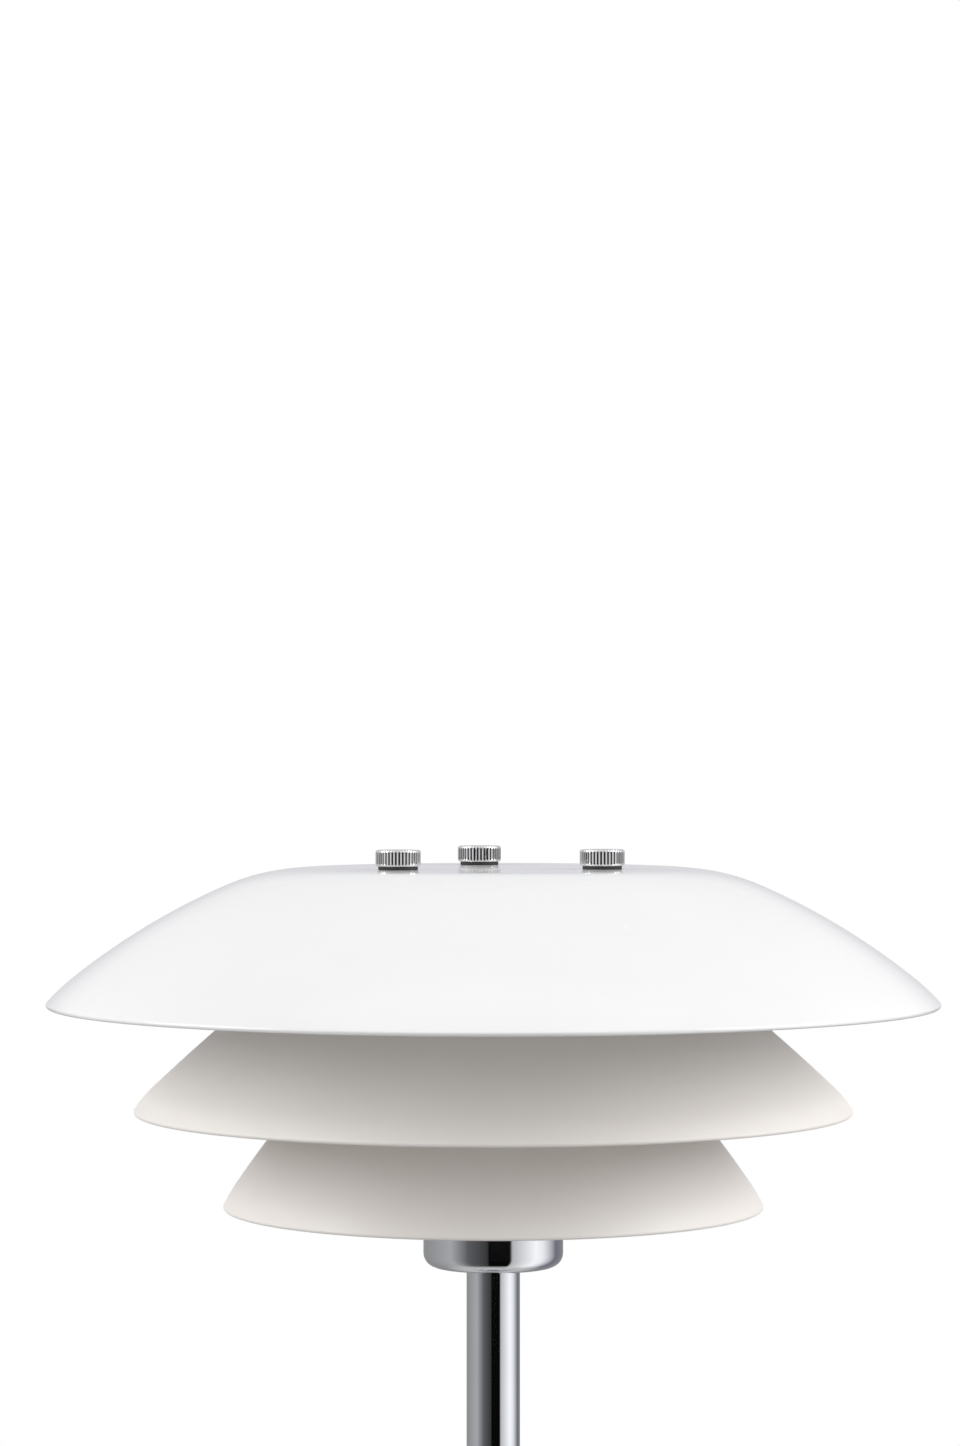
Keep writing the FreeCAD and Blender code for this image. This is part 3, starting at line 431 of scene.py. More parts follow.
@dataclass(frozen=True)
class Finish:
    """A surface by its real material. Each kind of finish adds its own detail to the same shader."""

    name: str
    colour: str
    roughness: float

    def material(self) -> bpy.types.Material:
        """The finish as a material, made the first time it is asked for.

        Returns:
            The material.
        """
        found = bpy.data.materials.get(self.name)
        if found is not None:
            return found
        made = bpy.data.materials.new(self.name)
        made.use_nodes = True
        tree = made.node_tree
        tree.nodes.clear()
        where = add_node(tree, "ShaderNodeTexCoord").outputs["Object"]
        shader = add_node(tree, "ShaderNodeBsdfPrincipled", None,
                          {"Base Color": linear(self.colour), "Roughness": self.roughness})
        add_node(tree, "ShaderNodeOutputMaterial", None, {"Surface": shader.outputs[0]})
        self.detail(tree, shader, where)
        return made

    def detail(self, tree: bpy.types.NodeTree, shader: bpy.types.Node, where: bpy.types.NodeSocket) -> None:
        """Adds what this kind of finish shows. The plain one shows nothing more.

        Args:
            tree: the material's nodes.
            shader: its shader.
            where: Object coordinates.
        """

    def noise(self, tree: bpy.types.NodeTree, where: bpy.types.NodeSocket, size_mm: float,
              rough: float = 0.5, layers: float = 2.0) -> bpy.types.NodeSocket:
        """Cloudy variation, 0 to 1, whose largest patches are size_mm across.

        Args:
            tree: the material's nodes.
            where: Object coordinates.
            size_mm: across the largest patches.
            rough: how much each finer layer adds.
            layers: how many finer layers there are.

        Returns:
            The pattern.
        """
        made = add_node(tree, "ShaderNodeTexNoise", None,
                        {"Vector": where, "Scale": 1.0 / (size_mm * MM), "Detail": layers, "Roughness": rough})
        return made.outputs[0]

    def vary(self, tree: bpy.types.NodeTree, shader: bpy.types.Node, pattern: bpy.types.NodeSocket,
             other: str, roughness: float) -> None:
        """Lets a pattern run the colour to a second one and the roughness to a second value.

        Args:
            tree: the material's nodes.
            shader: its shader.
            pattern: the pattern, 0 to 1.
            other: the second colour.
            roughness: the second roughness.
        """
        colours = add_node(tree, "ShaderNodeValToRGB", {"stops": [(0.3, self.colour), (0.7, other)]},
                           {"Fac": pattern})
        tree.links.new(colours.outputs["Color"], shader.inputs["Base Color"])
        gloss = add_node(tree, "ShaderNodeMapRange", None,
                         {"Value": pattern, "From Min": 0.3, "From Max": 0.7, "To Min": self.roughness,
                          "To Max": roughness})
        tree.links.new(gloss.outputs["Result"], shader.inputs["Roughness"])

    def bump(self, tree: bpy.types.NodeTree, shader: bpy.types.Node, height: bpy.types.NodeSocket,
             depth_mm: float) -> None:
        """Raises the surface by a pattern, depth_mm from its lowest to its highest.

        Args:
            tree: the material's nodes.
            shader: its shader.
            height: the pattern, 0 to 1.
            depth_mm: the real depth.
        """
        made = add_node(tree, "ShaderNodeBump", None,
                        {"Height": height, "Distance": depth_mm * MM, "Strength": 1.0})
        tree.links.new(made.outputs["Normal"], shader.inputs["Normal"])


@dataclass(frozen=True)
class Lacquer(Finish):
    """White stoving lacquer sprayed on spun metal: an even coat with a faint orange peel."""

    other: str = "#F1F1EF"
    peel_mm: float = 2.2          # across one swelling of the orange peel
    peel_depth_mm: float = 0.0012
    coat: float = 0.0             # share of a clear wet gloss over the colour
    coat_roughness: float = 0.06
    cloud_mm: float = 45.0        # across one patch of thicker lacquer

    def detail(self, tree: bpy.types.NodeTree, shader: bpy.types.Node, where: bpy.types.NodeSocket) -> None:
        """Adds cloudy thickness, the orange peel and the wet gloss.

        Args:
            tree: the material's nodes.
            shader: its shader.
            where: Object coordinates.
        """
        self.vary(tree, shader, self.noise(tree, where, self.cloud_mm, layers=4.0), self.other,
                  self.roughness * 1.25)
        self.bump(tree, shader, self.noise(tree, where, self.peel_mm, 0.6), self.peel_depth_mm)
        shader.inputs["Coat Weight"].default_value = self.coat
        shader.inputs["Coat Roughness"].default_value = self.coat_roughness


class Lines(Enum):
    """Which way the fine lines of a polished piece run, as the scale of their noise in (out, up)."""

    RINGS = (1.0, 1.0)            # turned or spun about the stem's axis
    UPRIGHT = (40.0, 0.02)        # drawn or belted along the stem


@dataclass(frozen=True)
class Plated(Finish):
    """Bright plating on polished metal: a mirror whose haze and fine lines follow how it was polished."""

    other: str = "#C9CBCD"
    lines: Lines = Lines.RINGS
    line_mm: float = 0.35         # real lines are finer: they are drawn as wide as the picture can show
    line_depth_mm: float = 0.00002
    haze: float = 1.6             # how much rougher the hazy patches are
    haze_mm: float = 18.0         # across one hazy patch

    def detail(self, tree: bpy.types.NodeTree, shader: bpy.types.Node, where: bpy.types.NodeSocket) -> None:
        """Adds the haze, and lines that depend on the distance from the axis and the height.

        Args:
            tree: the material's nodes.
            shader: its shader.
            where: Object coordinates.
        """
        shader.inputs["Metallic"].default_value = 1.0
        self.vary(tree, shader, self.noise(tree, where, self.haze_mm, 0.6, 5.0), self.other,
                  self.roughness * self.haze)
        parts = add_node(tree, "ShaderNodeSeparateXYZ", None, {"Vector": where})
        flat = add_node(tree, "ShaderNodeCombineXYZ", None, {"X": parts.outputs["X"], "Y": parts.outputs["Y"]})
        out = add_node(tree, "ShaderNodeVectorMath", {"operation": "LENGTH"}, {0: flat.outputs["Vector"]})
        across, up = self.lines.value
        lined = add_node(tree, "ShaderNodeCombineXYZ", None,
                         {"X": out.outputs["Value"], "Y": 0.0, "Z": parts.outputs["Z"]})
        scaled = add_node(tree, "ShaderNodeMapping", None,
                          {"Vector": lined.outputs["Vector"], "Scale": (across, 1.0, up)})
        self.bump(tree, shader, self.noise(tree, scaled.outputs["Vector"], self.line_mm, 0.7, 3.0),
                  self.line_depth_mm)


@dataclass(frozen=True)
class Knurled(Plated):
    """Plating over knurling, with painted shade that darkens its grooves towards their bottoms."""

    # colour of the painted shade in the knurl's grooves
    painted_groove_shade: str = "#3E3D3B"
    depth_name: str = "groove_depth"

    def detail(self, tree: bpy.types.NodeTree, shader: bpy.types.Node, where: bpy.types.NodeSocket) -> None:
        """Adds painted shade over the plating in the grooves, by the depth that each point of the mesh carries.

        Args:
            tree: the material's nodes.
            shader: its shader.
            where: Object coordinates.
        """
        super().detail(tree, shader, where)
        plated = shader.inputs["Base Color"].links[0].from_socket
        depth = add_node(tree, "ShaderNodeAttribute", {"attribute_name": self.depth_name})
        # painted shade: the plated colour runs to a dark grey towards the bottom of each groove
        painted_groove_shade = add_node(tree, "ShaderNodeMix", {"data_type": "RGBA"},
                        {"Factor": depth.outputs["Fac"], 6: plated, 7: linear(self.painted_groove_shade)})
        tree.links.new(painted_groove_shade.outputs[2], shader.inputs["Base Color"])


@dataclass(frozen=True)
class Grained(Finish):
    """A moulded, cast, fired or pressed surface: a second colour in patches, and a grain that is felt."""

    other: str = "#202020"
    patch_mm: float = 12.0
    grain_mm: float = 0.6
    grain_depth_mm: float = 0.01
    metallic: float = 0.0
    other_roughness: float = 0.6
    sheen: float = 0.0

    def detail(self, tree: bpy.types.NodeTree, shader: bpy.types.Node, where: bpy.types.NodeSocket) -> None:
        """Adds the patches and the grain.

        Args:
            tree: the material's nodes.
            shader: its shader.
            where: Object coordinates.
        """
        shader.inputs["Metallic"].default_value = self.metallic
        shader.inputs["Sheen Weight"].default_value = self.sheen
        self.vary(tree, shader, self.noise(tree, where, self.patch_mm, 0.6, 5.0), self.other, self.other_roughness)
        self.bump(tree, shader, self.noise(tree, where, self.grain_mm, 0.6, 3.0), self.grain_depth_mm)


@dataclass(frozen=True)
class Etched(Finish):
    """Glass etched to a frost, which passes light and shows only soft shapes behind it."""

    grain_mm: float = 0.25
    grain_depth_mm: float = 0.004

    def detail(self, tree: bpy.types.NodeTree, shader: bpy.types.Node, where: bpy.types.NodeSocket) -> None:
        """Adds the frost's grain and makes the glass clear inside.

        Args:
            tree: the material's nodes.
            shader: its shader.
            where: Object coordinates.
        """
        shader.inputs["Transmission Weight"].default_value = 1.0
        shader.inputs["IOR"].default_value = 1.5
        self.bump(tree, shader, self.noise(tree, where, self.grain_mm, 0.7, 3.0), self.grain_depth_mm)


@dataclass(frozen=True)
class ChipBoard(Finish):
    """A white fired board with rows of light chips under a yellow phosphor."""

    chip_colour: str = "#E9C24A"
    other_chip: str = "#DDB23C"
    chip_mm: float = 2.6
    gap_mm: float = 0.35
    rise_mm: float = 0.05

    def detail(self, tree: bpy.types.NodeTree, shader: bpy.types.Node, where: bpy.types.NodeSocket) -> None:
        """Adds the chips, as bricks in the plane of the board with the white board between them.

        Args:
            tree: the material's nodes.
            shader: its shader.
            where: Object coordinates.
        """
        upright = add_node(tree, "ShaderNodeMapping", None,
                           {"Vector": where, "Rotation": (math.pi / 2.0, 0.0, 0.0)})
        chips = add_node(tree, "ShaderNodeTexBrick", {"offset": 0.0},
                         {"Vector": upright.outputs["Vector"], "Color1": linear(self.chip_colour),
                          "Color2": linear(self.other_chip), "Mortar": linear(self.colour), "Scale": 1.0,
                          "Brick Width": self.chip_mm * MM, "Row Height": self.chip_mm * MM,
                          "Mortar Size": self.gap_mm * MM})
        tree.links.new(chips.outputs["Color"], shader.inputs["Base Color"])
        self.bump(tree, shader, chips.outputs["Fac"], self.rise_mm)


# The top shade's lacquer is polished: it mirrors the thumb nuts at a low angle.
GLOSS_LACQUER = Lacquer("white_stoving_lacquer_gloss", "#F5F5F5", 0.22, other="#F2F2F2", coat=0.6)
# The two lower shades are lacquered half matt, which shows no reflections.
SATIN_LACQUER = Lacquer("white_stoving_lacquer_half_matt", "#F3EFEB", 0.46, other="#F0EBE6",
                        peel_mm=1.2, peel_depth_mm=0.002)
# Polished chrome plate: cool, dark where the studio is dark, with crisp edges in its reflections.
CHROME = Plated("chrome_plate_polished", "#CFD1D4", 0.035)
CHROME_TUBE = Plated("chrome_plate_drawn_tube", "#CFD1D4", 0.035, lines=Lines.UPRIGHT)
# Bright nickel is warmer than chrome, and the knurling leaves it a little rougher. Its grooves are darkened with
# painted shade.
NICKEL = Knurled("bright_nickel_plate", "#DCDCDC", 0.07, other="#CFCFCE", line_mm=0.2, line_depth_mm=0.0004)
SATIN_NICKEL = Plated("satin_nickel_plate", "#C9C4BB", 0.3, other="#BBB5AB", line_mm=0.2, line_depth_mm=0.0006)
# Zinc plate is grey with a slight blue and yellow cast in patches.
ZINC = Grained("zinc_plate_on_steel", "#AEB3BA", 0.32, other="#B9B5A4", patch_mm=3.0, grain_mm=0.5,
               grain_depth_mm=0.002, metallic=1.0, other_roughness=0.42)
IRON = Grained("grey_cast_iron", "#3A3A3C", 0.62, other="#4B4744", patch_mm=6.0, grain_mm=0.9,
               grain_depth_mm=0.09, metallic=0.7, other_roughness=0.78)
BRASS = Plated("turned_brass", "#D9B25F", 0.24, other="#C79C4A", line_mm=0.2, line_depth_mm=0.0006)
BRONZE = Plated("phosphor_bronze_strip", "#C69A62", 0.28, other="#B5854E", line_mm=0.3, line_depth_mm=0.0006)
# Wool felt: dark fibres of 20 to 40 microns, drawn thicker so that they show, with a soft sheen.
FELT = Grained("wool_felt_charcoal", "#303033", 0.95, other="#3B3B3F", patch_mm=1.6, grain_mm=0.35,
               grain_depth_mm=0.12, other_roughness=1.0, sheen=0.5)
RUBBER = Grained("moulded_black_rubber", "#262628", 0.62, other="#303031", patch_mm=2.0, grain_mm=0.3,
                 grain_depth_mm=0.01, other_roughness=0.72)
NYLON = Grained("black_moulded_nylon", "#1D1D1F", 0.42, other="#27272A", patch_mm=3.0, grain_mm=0.4,
                grain_depth_mm=0.008, other_roughness=0.52)
CLEAR_NYLON = Grained("natural_moulded_nylon", "#E0DCCF", 0.4, other="#D5D0C0", patch_mm=4.0, grain_mm=0.5,
                      grain_depth_mm=0.008, other_roughness=0.5)
PHENOLIC = Grained("black_phenolic_moulding", "#161618", 0.24, other="#1F1D1C", patch_mm=5.0, grain_mm=0.5,
                   grain_depth_mm=0.003, other_roughness=0.34)
STEATITE = Grained("unglazed_steatite", "#E9E5DA", 0.55, other="#DFD9CB", patch_mm=1.4, grain_mm=0.3,
                   grain_depth_mm=0.012, other_roughness=0.66)
BROWN_SLEEVE = Grained("brown_wire_insulation", "#5A3A26", 0.38, other="#65422D", patch_mm=5.0, grain_mm=0.6,
                       grain_depth_mm=0.006, other_roughness=0.46)
BLUE_SLEEVE = Grained("blue_wire_insulation", "#2B66B0", 0.38, other="#2F6DBA", patch_mm=5.0, grain_mm=0.6,
                      grain_depth_mm=0.006, other_roughness=0.46)
FROST = Etched("etched_glass", "#F7F7F5", 0.5)
CHIPS = ChipBoard("phosphor_on_fired_board", "#EFEDE4", 0.5)


# ---------------------------------------------------------------- base
@dataclass(frozen=True)
class Base:
    """The domed cover with its felt and cable outlet, and the ballast and wiring inside."""

    cover_radius: float = 65.0
    dome_radius: float = 360.0
    edge_radius: float = 5.0
    wall: float = 1.2
    nipple_hole: float = 5.2
    seat_radius: float = 6.2
    outlet_height: float = 7.0
    outlet_bore: float = 3.1
    outlet_tube: float = 3.9
    outlet_flange: float = 4.5
    outlet_play: float = 0.05
    lip: float = 0.3              # how far the bush's snap lip stands out
    lip_depths: tuple[float, float, float] = (1.5, 0.45, 0.4)   # where it starts, peaks and ends inside the wall
    sink: float = 0.02            # the bush's flange presses this far into the wall
    felt_rounding: float = 0.5
    dome_steps: int = 24
    edge_steps: int = 16
    wall_heights: tuple[float, ...] = (8.0, 6.0, 4.0, 2.2)
    outlet_step: int = 10         # the step of the rounded edge where the outlet's patch begins
    outlet_columns: int = 4       # half the patch's width

    def edge_centre(self) -> np.ndarray:
        """Centre of the rounded edge: edge_radius inside the wall, dome_radius - edge_radius from the dome's.

        Returns:
            (x, z).
        """
        x = self.cover_radius - self.edge_radius
        reach = self.dome_radius - self.edge_radius
        return np.array([x, span("base_cover")[1] - self.dome_radius + math.sqrt(reach ** 2 - x ** 2)])

    def cover_side(self, inset: float) -> np.ndarray:
        """The cover's outer profile taken in by inset, from its seat to its lower edge.

        The dome is the arc of dome_radius - inset about the axis. It meets the arc of edge_radius - inset, which
        ends in the upright wall.

        Args:
            inset: 0 for the outside, and the wall's thickness for the inside.

        Returns:
            Rows of (radius, height).
        """
        low, high = span("base_cover")
        edge = self.edge_centre()
        first = math.degrees(math.asin(self.seat_radius / self.dome_radius))
        slope = math.degrees(math.asin(edge[0] / (self.dome_radius - self.edge_radius)))
        dome = arc(np.array([0.0, high - self.dome_radius]), self.dome_radius - inset, first, slope,
                   self.dome_steps)
        corner = arc(edge, self.edge_radius - inset, slope, 90.0, self.edge_steps)[1:]
        wall = np.array([(self.cover_radius - inset, height) for height in (*self.wall_heights, low)])
        return np.vstack([dome, corner, wall])

    def wall_lift(self, inset: float) -> Callable[[np.ndarray], np.ndarray]:
        """Gives a function that puts points of known (x, z) on the cover's back.

        There y is the root of r(z)^2 - x^2, with r the wall's radius, or that of the rounded edge above it.

        Args:
            inset: 0 for the outside, and the wall's thickness for the inside.

        Returns:
            The function, which changes the points that it is given.
        """
        edge_x, edge_z = self.edge_centre()

        def lift(points: np.ndarray) -> np.ndarray:
            """Sets y from x and z.

            Args:
                points: the points, with x and z right.

            Returns:
                The same points.
            """
            above = np.clip(points[..., 2] - edge_z, 0.0, None)
            radius = edge_x + np.sqrt((self.edge_radius - inset) ** 2 - above ** 2)
            points[..., 1] = np.sqrt(radius ** 2 - points[..., 0] ** 2)
            return points

        return lift

    def cover(self) -> Surface:
        """The spun cover: its outer and inner profile turned, a flat seat, and a hole for the outlet.

        Returns:
            Its surface, in millimetres.
        """
        high = span("base_cover")[1]
        outer = self.cover_side(0.0)
        inner = self.cover_side(self.wall)[::-1]
        seat = np.array([(self.nipple_hole, high), (self.seat_radius, high)])
        under = np.array([(self.nipple_hole, high - self.wall)])
        points = turned_points(np.vstack([seat, outer, inner, under]), around(COLUMNS))
        top, low = self.dome_steps + self.outlet_step, len(outer) - 2
        first, last = len(seat), len(seat) + len(outer) + len(inner) - 1
        back = COLUMNS // 4
        columns = (back - self.outlet_columns, back + self.outlet_columns)
        blocks = (((first + top, first + low), 0.0), ((last - top, last - low), self.wall))
        holes = [Hole((0.0, self.outlet_height), self.outlet_tube + self.outlet_play, rows, columns,
                      self.wall_lift(inset)) for rows, inset in blocks]
        sheet, rims = drilled(points, holes, True, (0, 2))
        return sheet + grid(ruled(rims[0], rims[1], 1))

    def outlet(self) -> Surface:
        """The bush: a tube along +Y with a rounded flange outside the wall and a snap lip inside it.

        Returns:
            Its surface, in millimetres.
        """
        low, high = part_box("cable_outlet_bush")
        inner, outer = low.y / MM, high.y / MM
        start, peak, stop = (self.cover_radius - self.wall - depth for depth in self.lip_depths)
        seat = self.cover_radius - self.sink
        profile = rounded((self.outlet_bore, inner, 0.2), (self.outlet_tube, inner, 0.2),
                          (self.outlet_tube, start, 0.0), (self.outlet_tube + self.lip, peak, 0.0),
                          (self.outlet_tube, stop, 0.0), (self.outlet_tube, seat, 0.0),
                          (self.outlet_flange, seat, 0.1), (self.outlet_flange, outer, 0.5),
                          (self.outlet_bore, outer, 0.35))
        return turned(profile, around(SMALL_COLUMNS)).facing_back(self.outlet_height)

    def felt(self) -> Surface:
        """The felt disc, with soft edges.

        Returns:
            Its surface, in millimetres.
        """
        low, high = span("felt_pad")
        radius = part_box("felt_pad")[1].x / MM
        profile = rounded((0.0, high, 0.0), (radius, high, self.felt_rounding), (radius, low, self.felt_rounding),
                          (0.0, low, 0.0), closed=False)
        return turned(profile, around(COLUMNS), closed=False)

    def build(self) -> None:
        """Makes the base's pieces and dresses what stays of the frame."""
        make_piece("cover", self.cover(), CHROME, "lamp", "chrome", "base_cover")
        make_piece("outlet_bush", self.outlet(), NYLON, "lamp", "black_nylon", "cable_outlet_bush")
        make_piece("felt", self.felt(), FELT, "lamp", "felt", "felt_pad")
        dress(ZINC, "base_plate", "base_plate_screws", "terminal_screws", "terminal_block_screw", "stem_nut",
              "stem_washer", "lower_nipple")
        dress(IRON, "ballast")
        dress(CLEAR_NYLON, "terminal_block")
        dress(BRASS, "terminal_inserts")
        dress(BROWN_SLEEVE, "live_wire")
        dress(BLUE_SLEEVE, "neutral_wire")


# ---------------------------------------------------------------- stem and holder
@dataclass(frozen=True)
class Holder:
    """The stem, the deep-drawn cup on it, and the lampholder whose ring nut clamps the spider."""

    stem_wall: float = 0.95
    cup_wall: float = 1.2
    cup_rounding: float = 3.0
    nipple_hole: float = 5.2
    sleeve_inside: float = 11.6
    sleeve_radius: float = 13.2
    sleeve_flange: float = 1.6    # its thickness
    ring_radius: float = 17.0
    ring_play: float = 0.05
    notches: int = 12
    notch_radius: float = 0.9
    notch_columns: int = 48

    def stem(self) -> Surface:
        """The tube, its ends slightly broken.

        Returns:
            Its surface, in millimetres.
        """
        low, high = span("stem_tube")
        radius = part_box("stem_tube")[1].x / MM
        inside = radius - self.stem_wall
        return turned(rounded((radius, low, 0.2), (radius, high, 0.2), (inside, high, 0.2), (inside, low, 0.2)),
                      around(COLUMNS))

    def cup(self) -> Surface:
        """The cup, with its rounded lower edge and a rolled upper one.

        Returns:
            Its surface, in millimetres.
        """
        low, high = span("holder_cup")
        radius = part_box("holder_cup")[1].x / MM
        wall, bend = self.cup_wall, self.cup_rounding
        profile = rounded((self.nipple_hole, low, 0.0), (radius, low, bend), (radius, high, 0.3),
                          (radius - wall, high, 0.3), (radius - wall, low + wall, bend - wall),
                          (self.nipple_hole, low + wall, 0.0))
        return turned(profile, around(COLUMNS))

    def sleeve(self) -> Surface:
        """The threaded sleeve, with the flange that lies under the spider.

        Returns:
            Its surface, in millimetres.
        """
        low, high = span("lampholder_sleeve")
        seat = span("spider")[0]
        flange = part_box("lampholder_sleeve")[1].x / MM
        inside, outside = self.sleeve_inside, self.sleeve_radius
        profile = rounded((inside, low, 0.2), (outside, low, 0.2), (outside, seat - self.sleeve_flange, 0.1),
                          (flange, seat - self.sleeve_flange, 0.25), (flange, seat, 0.1), (outside, seat, 0.0),
                          (outside, high, 0.35), (inside, high, 0.35))
        return turned(profile, around(COLUMNS))

    def ring_limit(self, angles: np.ndarray, heights: np.ndarray) -> np.ndarray:
        """The ring nut's edge with round notches in it.

        Where a notch of radius n is cut at distance R from the axis, an angle d from its middle, the edge is at
        R cos d - root(n^2 - R^2 sin^2 d).

        Args:
            angles: angles round the axis.
            heights: heights, which make no difference.

        Returns:
            The largest radius at each.
        """
        radius = self.ring_radius
        pitch = 2.0 * math.pi / self.notches
        off = (angles + pitch / 2.0) % pitch - pitch / 2.0
        depth = self.notch_radius ** 2 - (radius * np.sin(off)) ** 2
        return np.where(depth > 0.0, radius * np.cos(off) - np.sqrt(np.clip(depth, 0.0, None)), radius)

    def ring(self) -> Surface:
        """The ring nut.

        Returns:
            Its surface, in millimetres.
        """
        low, high = span("shade_ring")
        radius, inside = self.ring_radius, self.sleeve_radius + self.ring_play
        profile = rounded((inside, low, 0.1), (radius, low, 0.4), (radius, high, 0.6), (inside, high, 0.3))
        return turned(profile, around(self.notches * self.notch_columns), limit=self.ring_limit)

    def build(self) -> None:
        """Makes the stem, the cup and the seen half of the lampholder, and dresses the rest."""
        make_piece("stem", self.stem(), CHROME_TUBE, "lamp", "chrome", "stem_tube")
        make_piece("cup", self.cup(), CHROME, "lamp", "chrome", "holder_cup")
        make_piece("holder_sleeve", self.sleeve(), PHENOLIC, "lamp", "black_phenolic", "lampholder_sleeve")
        make_piece("ring_nut", self.ring(), PHENOLIC, "lamp", "black_phenolic", "shade_ring")
        dress(ZINC, "upper_nipple", "lock_washer", "lock_nut", "lampholder_screws")
        dress(PHENOLIC, "lampholder_base")
        dress(STEATITE, "lampholder_core")
        dress(BRONZE, "contact_clips")


# ---------------------------------------------------------------- bulb
@dataclass(frozen=True)
class Bulb:
    """The two-pin capsule: a ceramic foot with a waist, a frosted envelope and the light board in it."""

    radius: float = 7.6
    wall: float = 0.9
    waist_depth: float = 1.2
    waist_height: float = 2.0
    pin_spacing: float = 9.0
    pin_radius: float = 0.5
    pin_columns: int = 24
    play: float = 0.05
    dome_steps: int = 20

    def foot(self) -> Surface:
        """The foot, with a soft waist, and the spigot inside the envelope.

        Returns:
            Its surface, in millimetres.
        """
        low, high = span("bulb_foot")
        glass = span("bulb_envelope")[0]
        middle_z = (low + glass) / 2.0
        half = self.waist_height / 2.0
        neck = self.radius - self.waist_depth
        spigot = self.radius - self.wall - self.play
        profile = rounded((0.0, low, 0.0), (self.radius, low, 0.6), (self.radius, middle_z - half, 0.3),
                          (neck, middle_z - half, 0.3), (neck, middle_z + half, 0.3),
                          (self.radius, middle_z + half, 0.3), (self.radius, glass, 0.2), (spigot, glass, 0.0),
                          (spigot, high, 0.3), (0.0, high, 0.0), closed=False)
        return turned(profile, around(SMALL_COLUMNS), closed=False)

    def envelope(self) -> Surface:
        """The glass: a half sphere on a tube, inside and outside.

        Returns:
            Its surface, in millimetres.
        """
        low, high = span("bulb_envelope")
        centre = np.array([0.0, high - self.radius])
        outer = arc(centre, self.radius, 0.0, 90.0, self.dome_steps)
        inner = arc(centre, self.radius - self.wall, 90.0, 0.0, self.dome_steps)
        mouth = np.array([(self.radius, low), (self.radius - self.wall, low)])
        return turned(held(np.vstack([outer, mouth, inner]), False), around(SMALL_COLUMNS), closed=False)

    def pins(self) -> Surface:
        """The two pins, round at their tips.

        Returns:
            Their surface, in millimetres.
        """
        low, high = span("bulb_pins")
        profile = rounded((0.0, low, 0.0), (self.pin_radius, low, 0.3), (self.pin_radius, high, 0.1),
                          (0.0, high, 0.0), closed=False)
        pin = turned(profile, around(self.pin_columns), closed=False)
        return pin.placed(-self.pin_spacing / 2.0, 0.0) + pin.placed(self.pin_spacing / 2.0, 0.0)

    def build(self) -> None:
        """Makes the bulb."""
        make_piece("capsule_foot", self.foot(), STEATITE, "bulb", "steatite", "bulb_foot")
        make_piece("capsule_glass", self.envelope(), FROST, "bulb", "frosted_glass", "bulb_envelope")
        make_piece("capsule_pins", self.pins(), SATIN_NICKEL, "bulb", "pin_wire", "bulb_pins")
        dress(CHIPS, "bulb_light_board")


# ---------------------------------------------------------------- spider, rods, spacers, washers
class Rod(Enum):
    """The three rods, and where each stands, in degrees from +X."""

    RIGHT = -23.0
    BACK = 97.0
    LEFT = 217.0

    @property
    def word(self) -> str:
        """The rod's name in the nodes."""
        return self.name.lower()


ROD_CIRCLE = 26.3             # from the stem's axis to the rods


def rod_place(rod: Rod) -> tuple[float, float]:
    """Where a rod stands, in millimetres."""
    turn = math.radians(rod.value)
    return ROD_CIRCLE * math.cos(turn), ROD_CIRCLE * math.sin(turn)


def drilled_for_rods(points: np.ndarray, radius: float, above: tuple[int, int], below: tuple[int, int],
                     half_width: int, thickness: float, wrap_rows: bool) -> Surface:
    """A flat part of a turned sheet, drilled for the three rods.

    Args:
        points: the sheet, whose first column lies on the right-hand rod.
        radius: the holes' radius.
        above: the rows that a hole takes from the upper side.
        below: the rows that it takes from the lower side.
        half_width: half the columns that it takes.
        thickness: the sheet's thickness.
        wrap_rows: whether the last row meets the first.

    Returns:
        The sheet with the walls of its holes.
    """
    holes = [Hole(rod_place(rod), radius, rows, (column - half_width, column + half_width))
             for column, rod in zip(range(0, COLUMNS, COLUMNS // len(Rod)), Rod) for rows in (above, below)]
    sheet, rims = drilled(points, holes, wrap_rows)
    drop = np.array([0.0, 0.0, -thickness])
    return joined([sheet, *(grid(ruled(rim, rim + drop, 1)) for rim in rims[::2])])


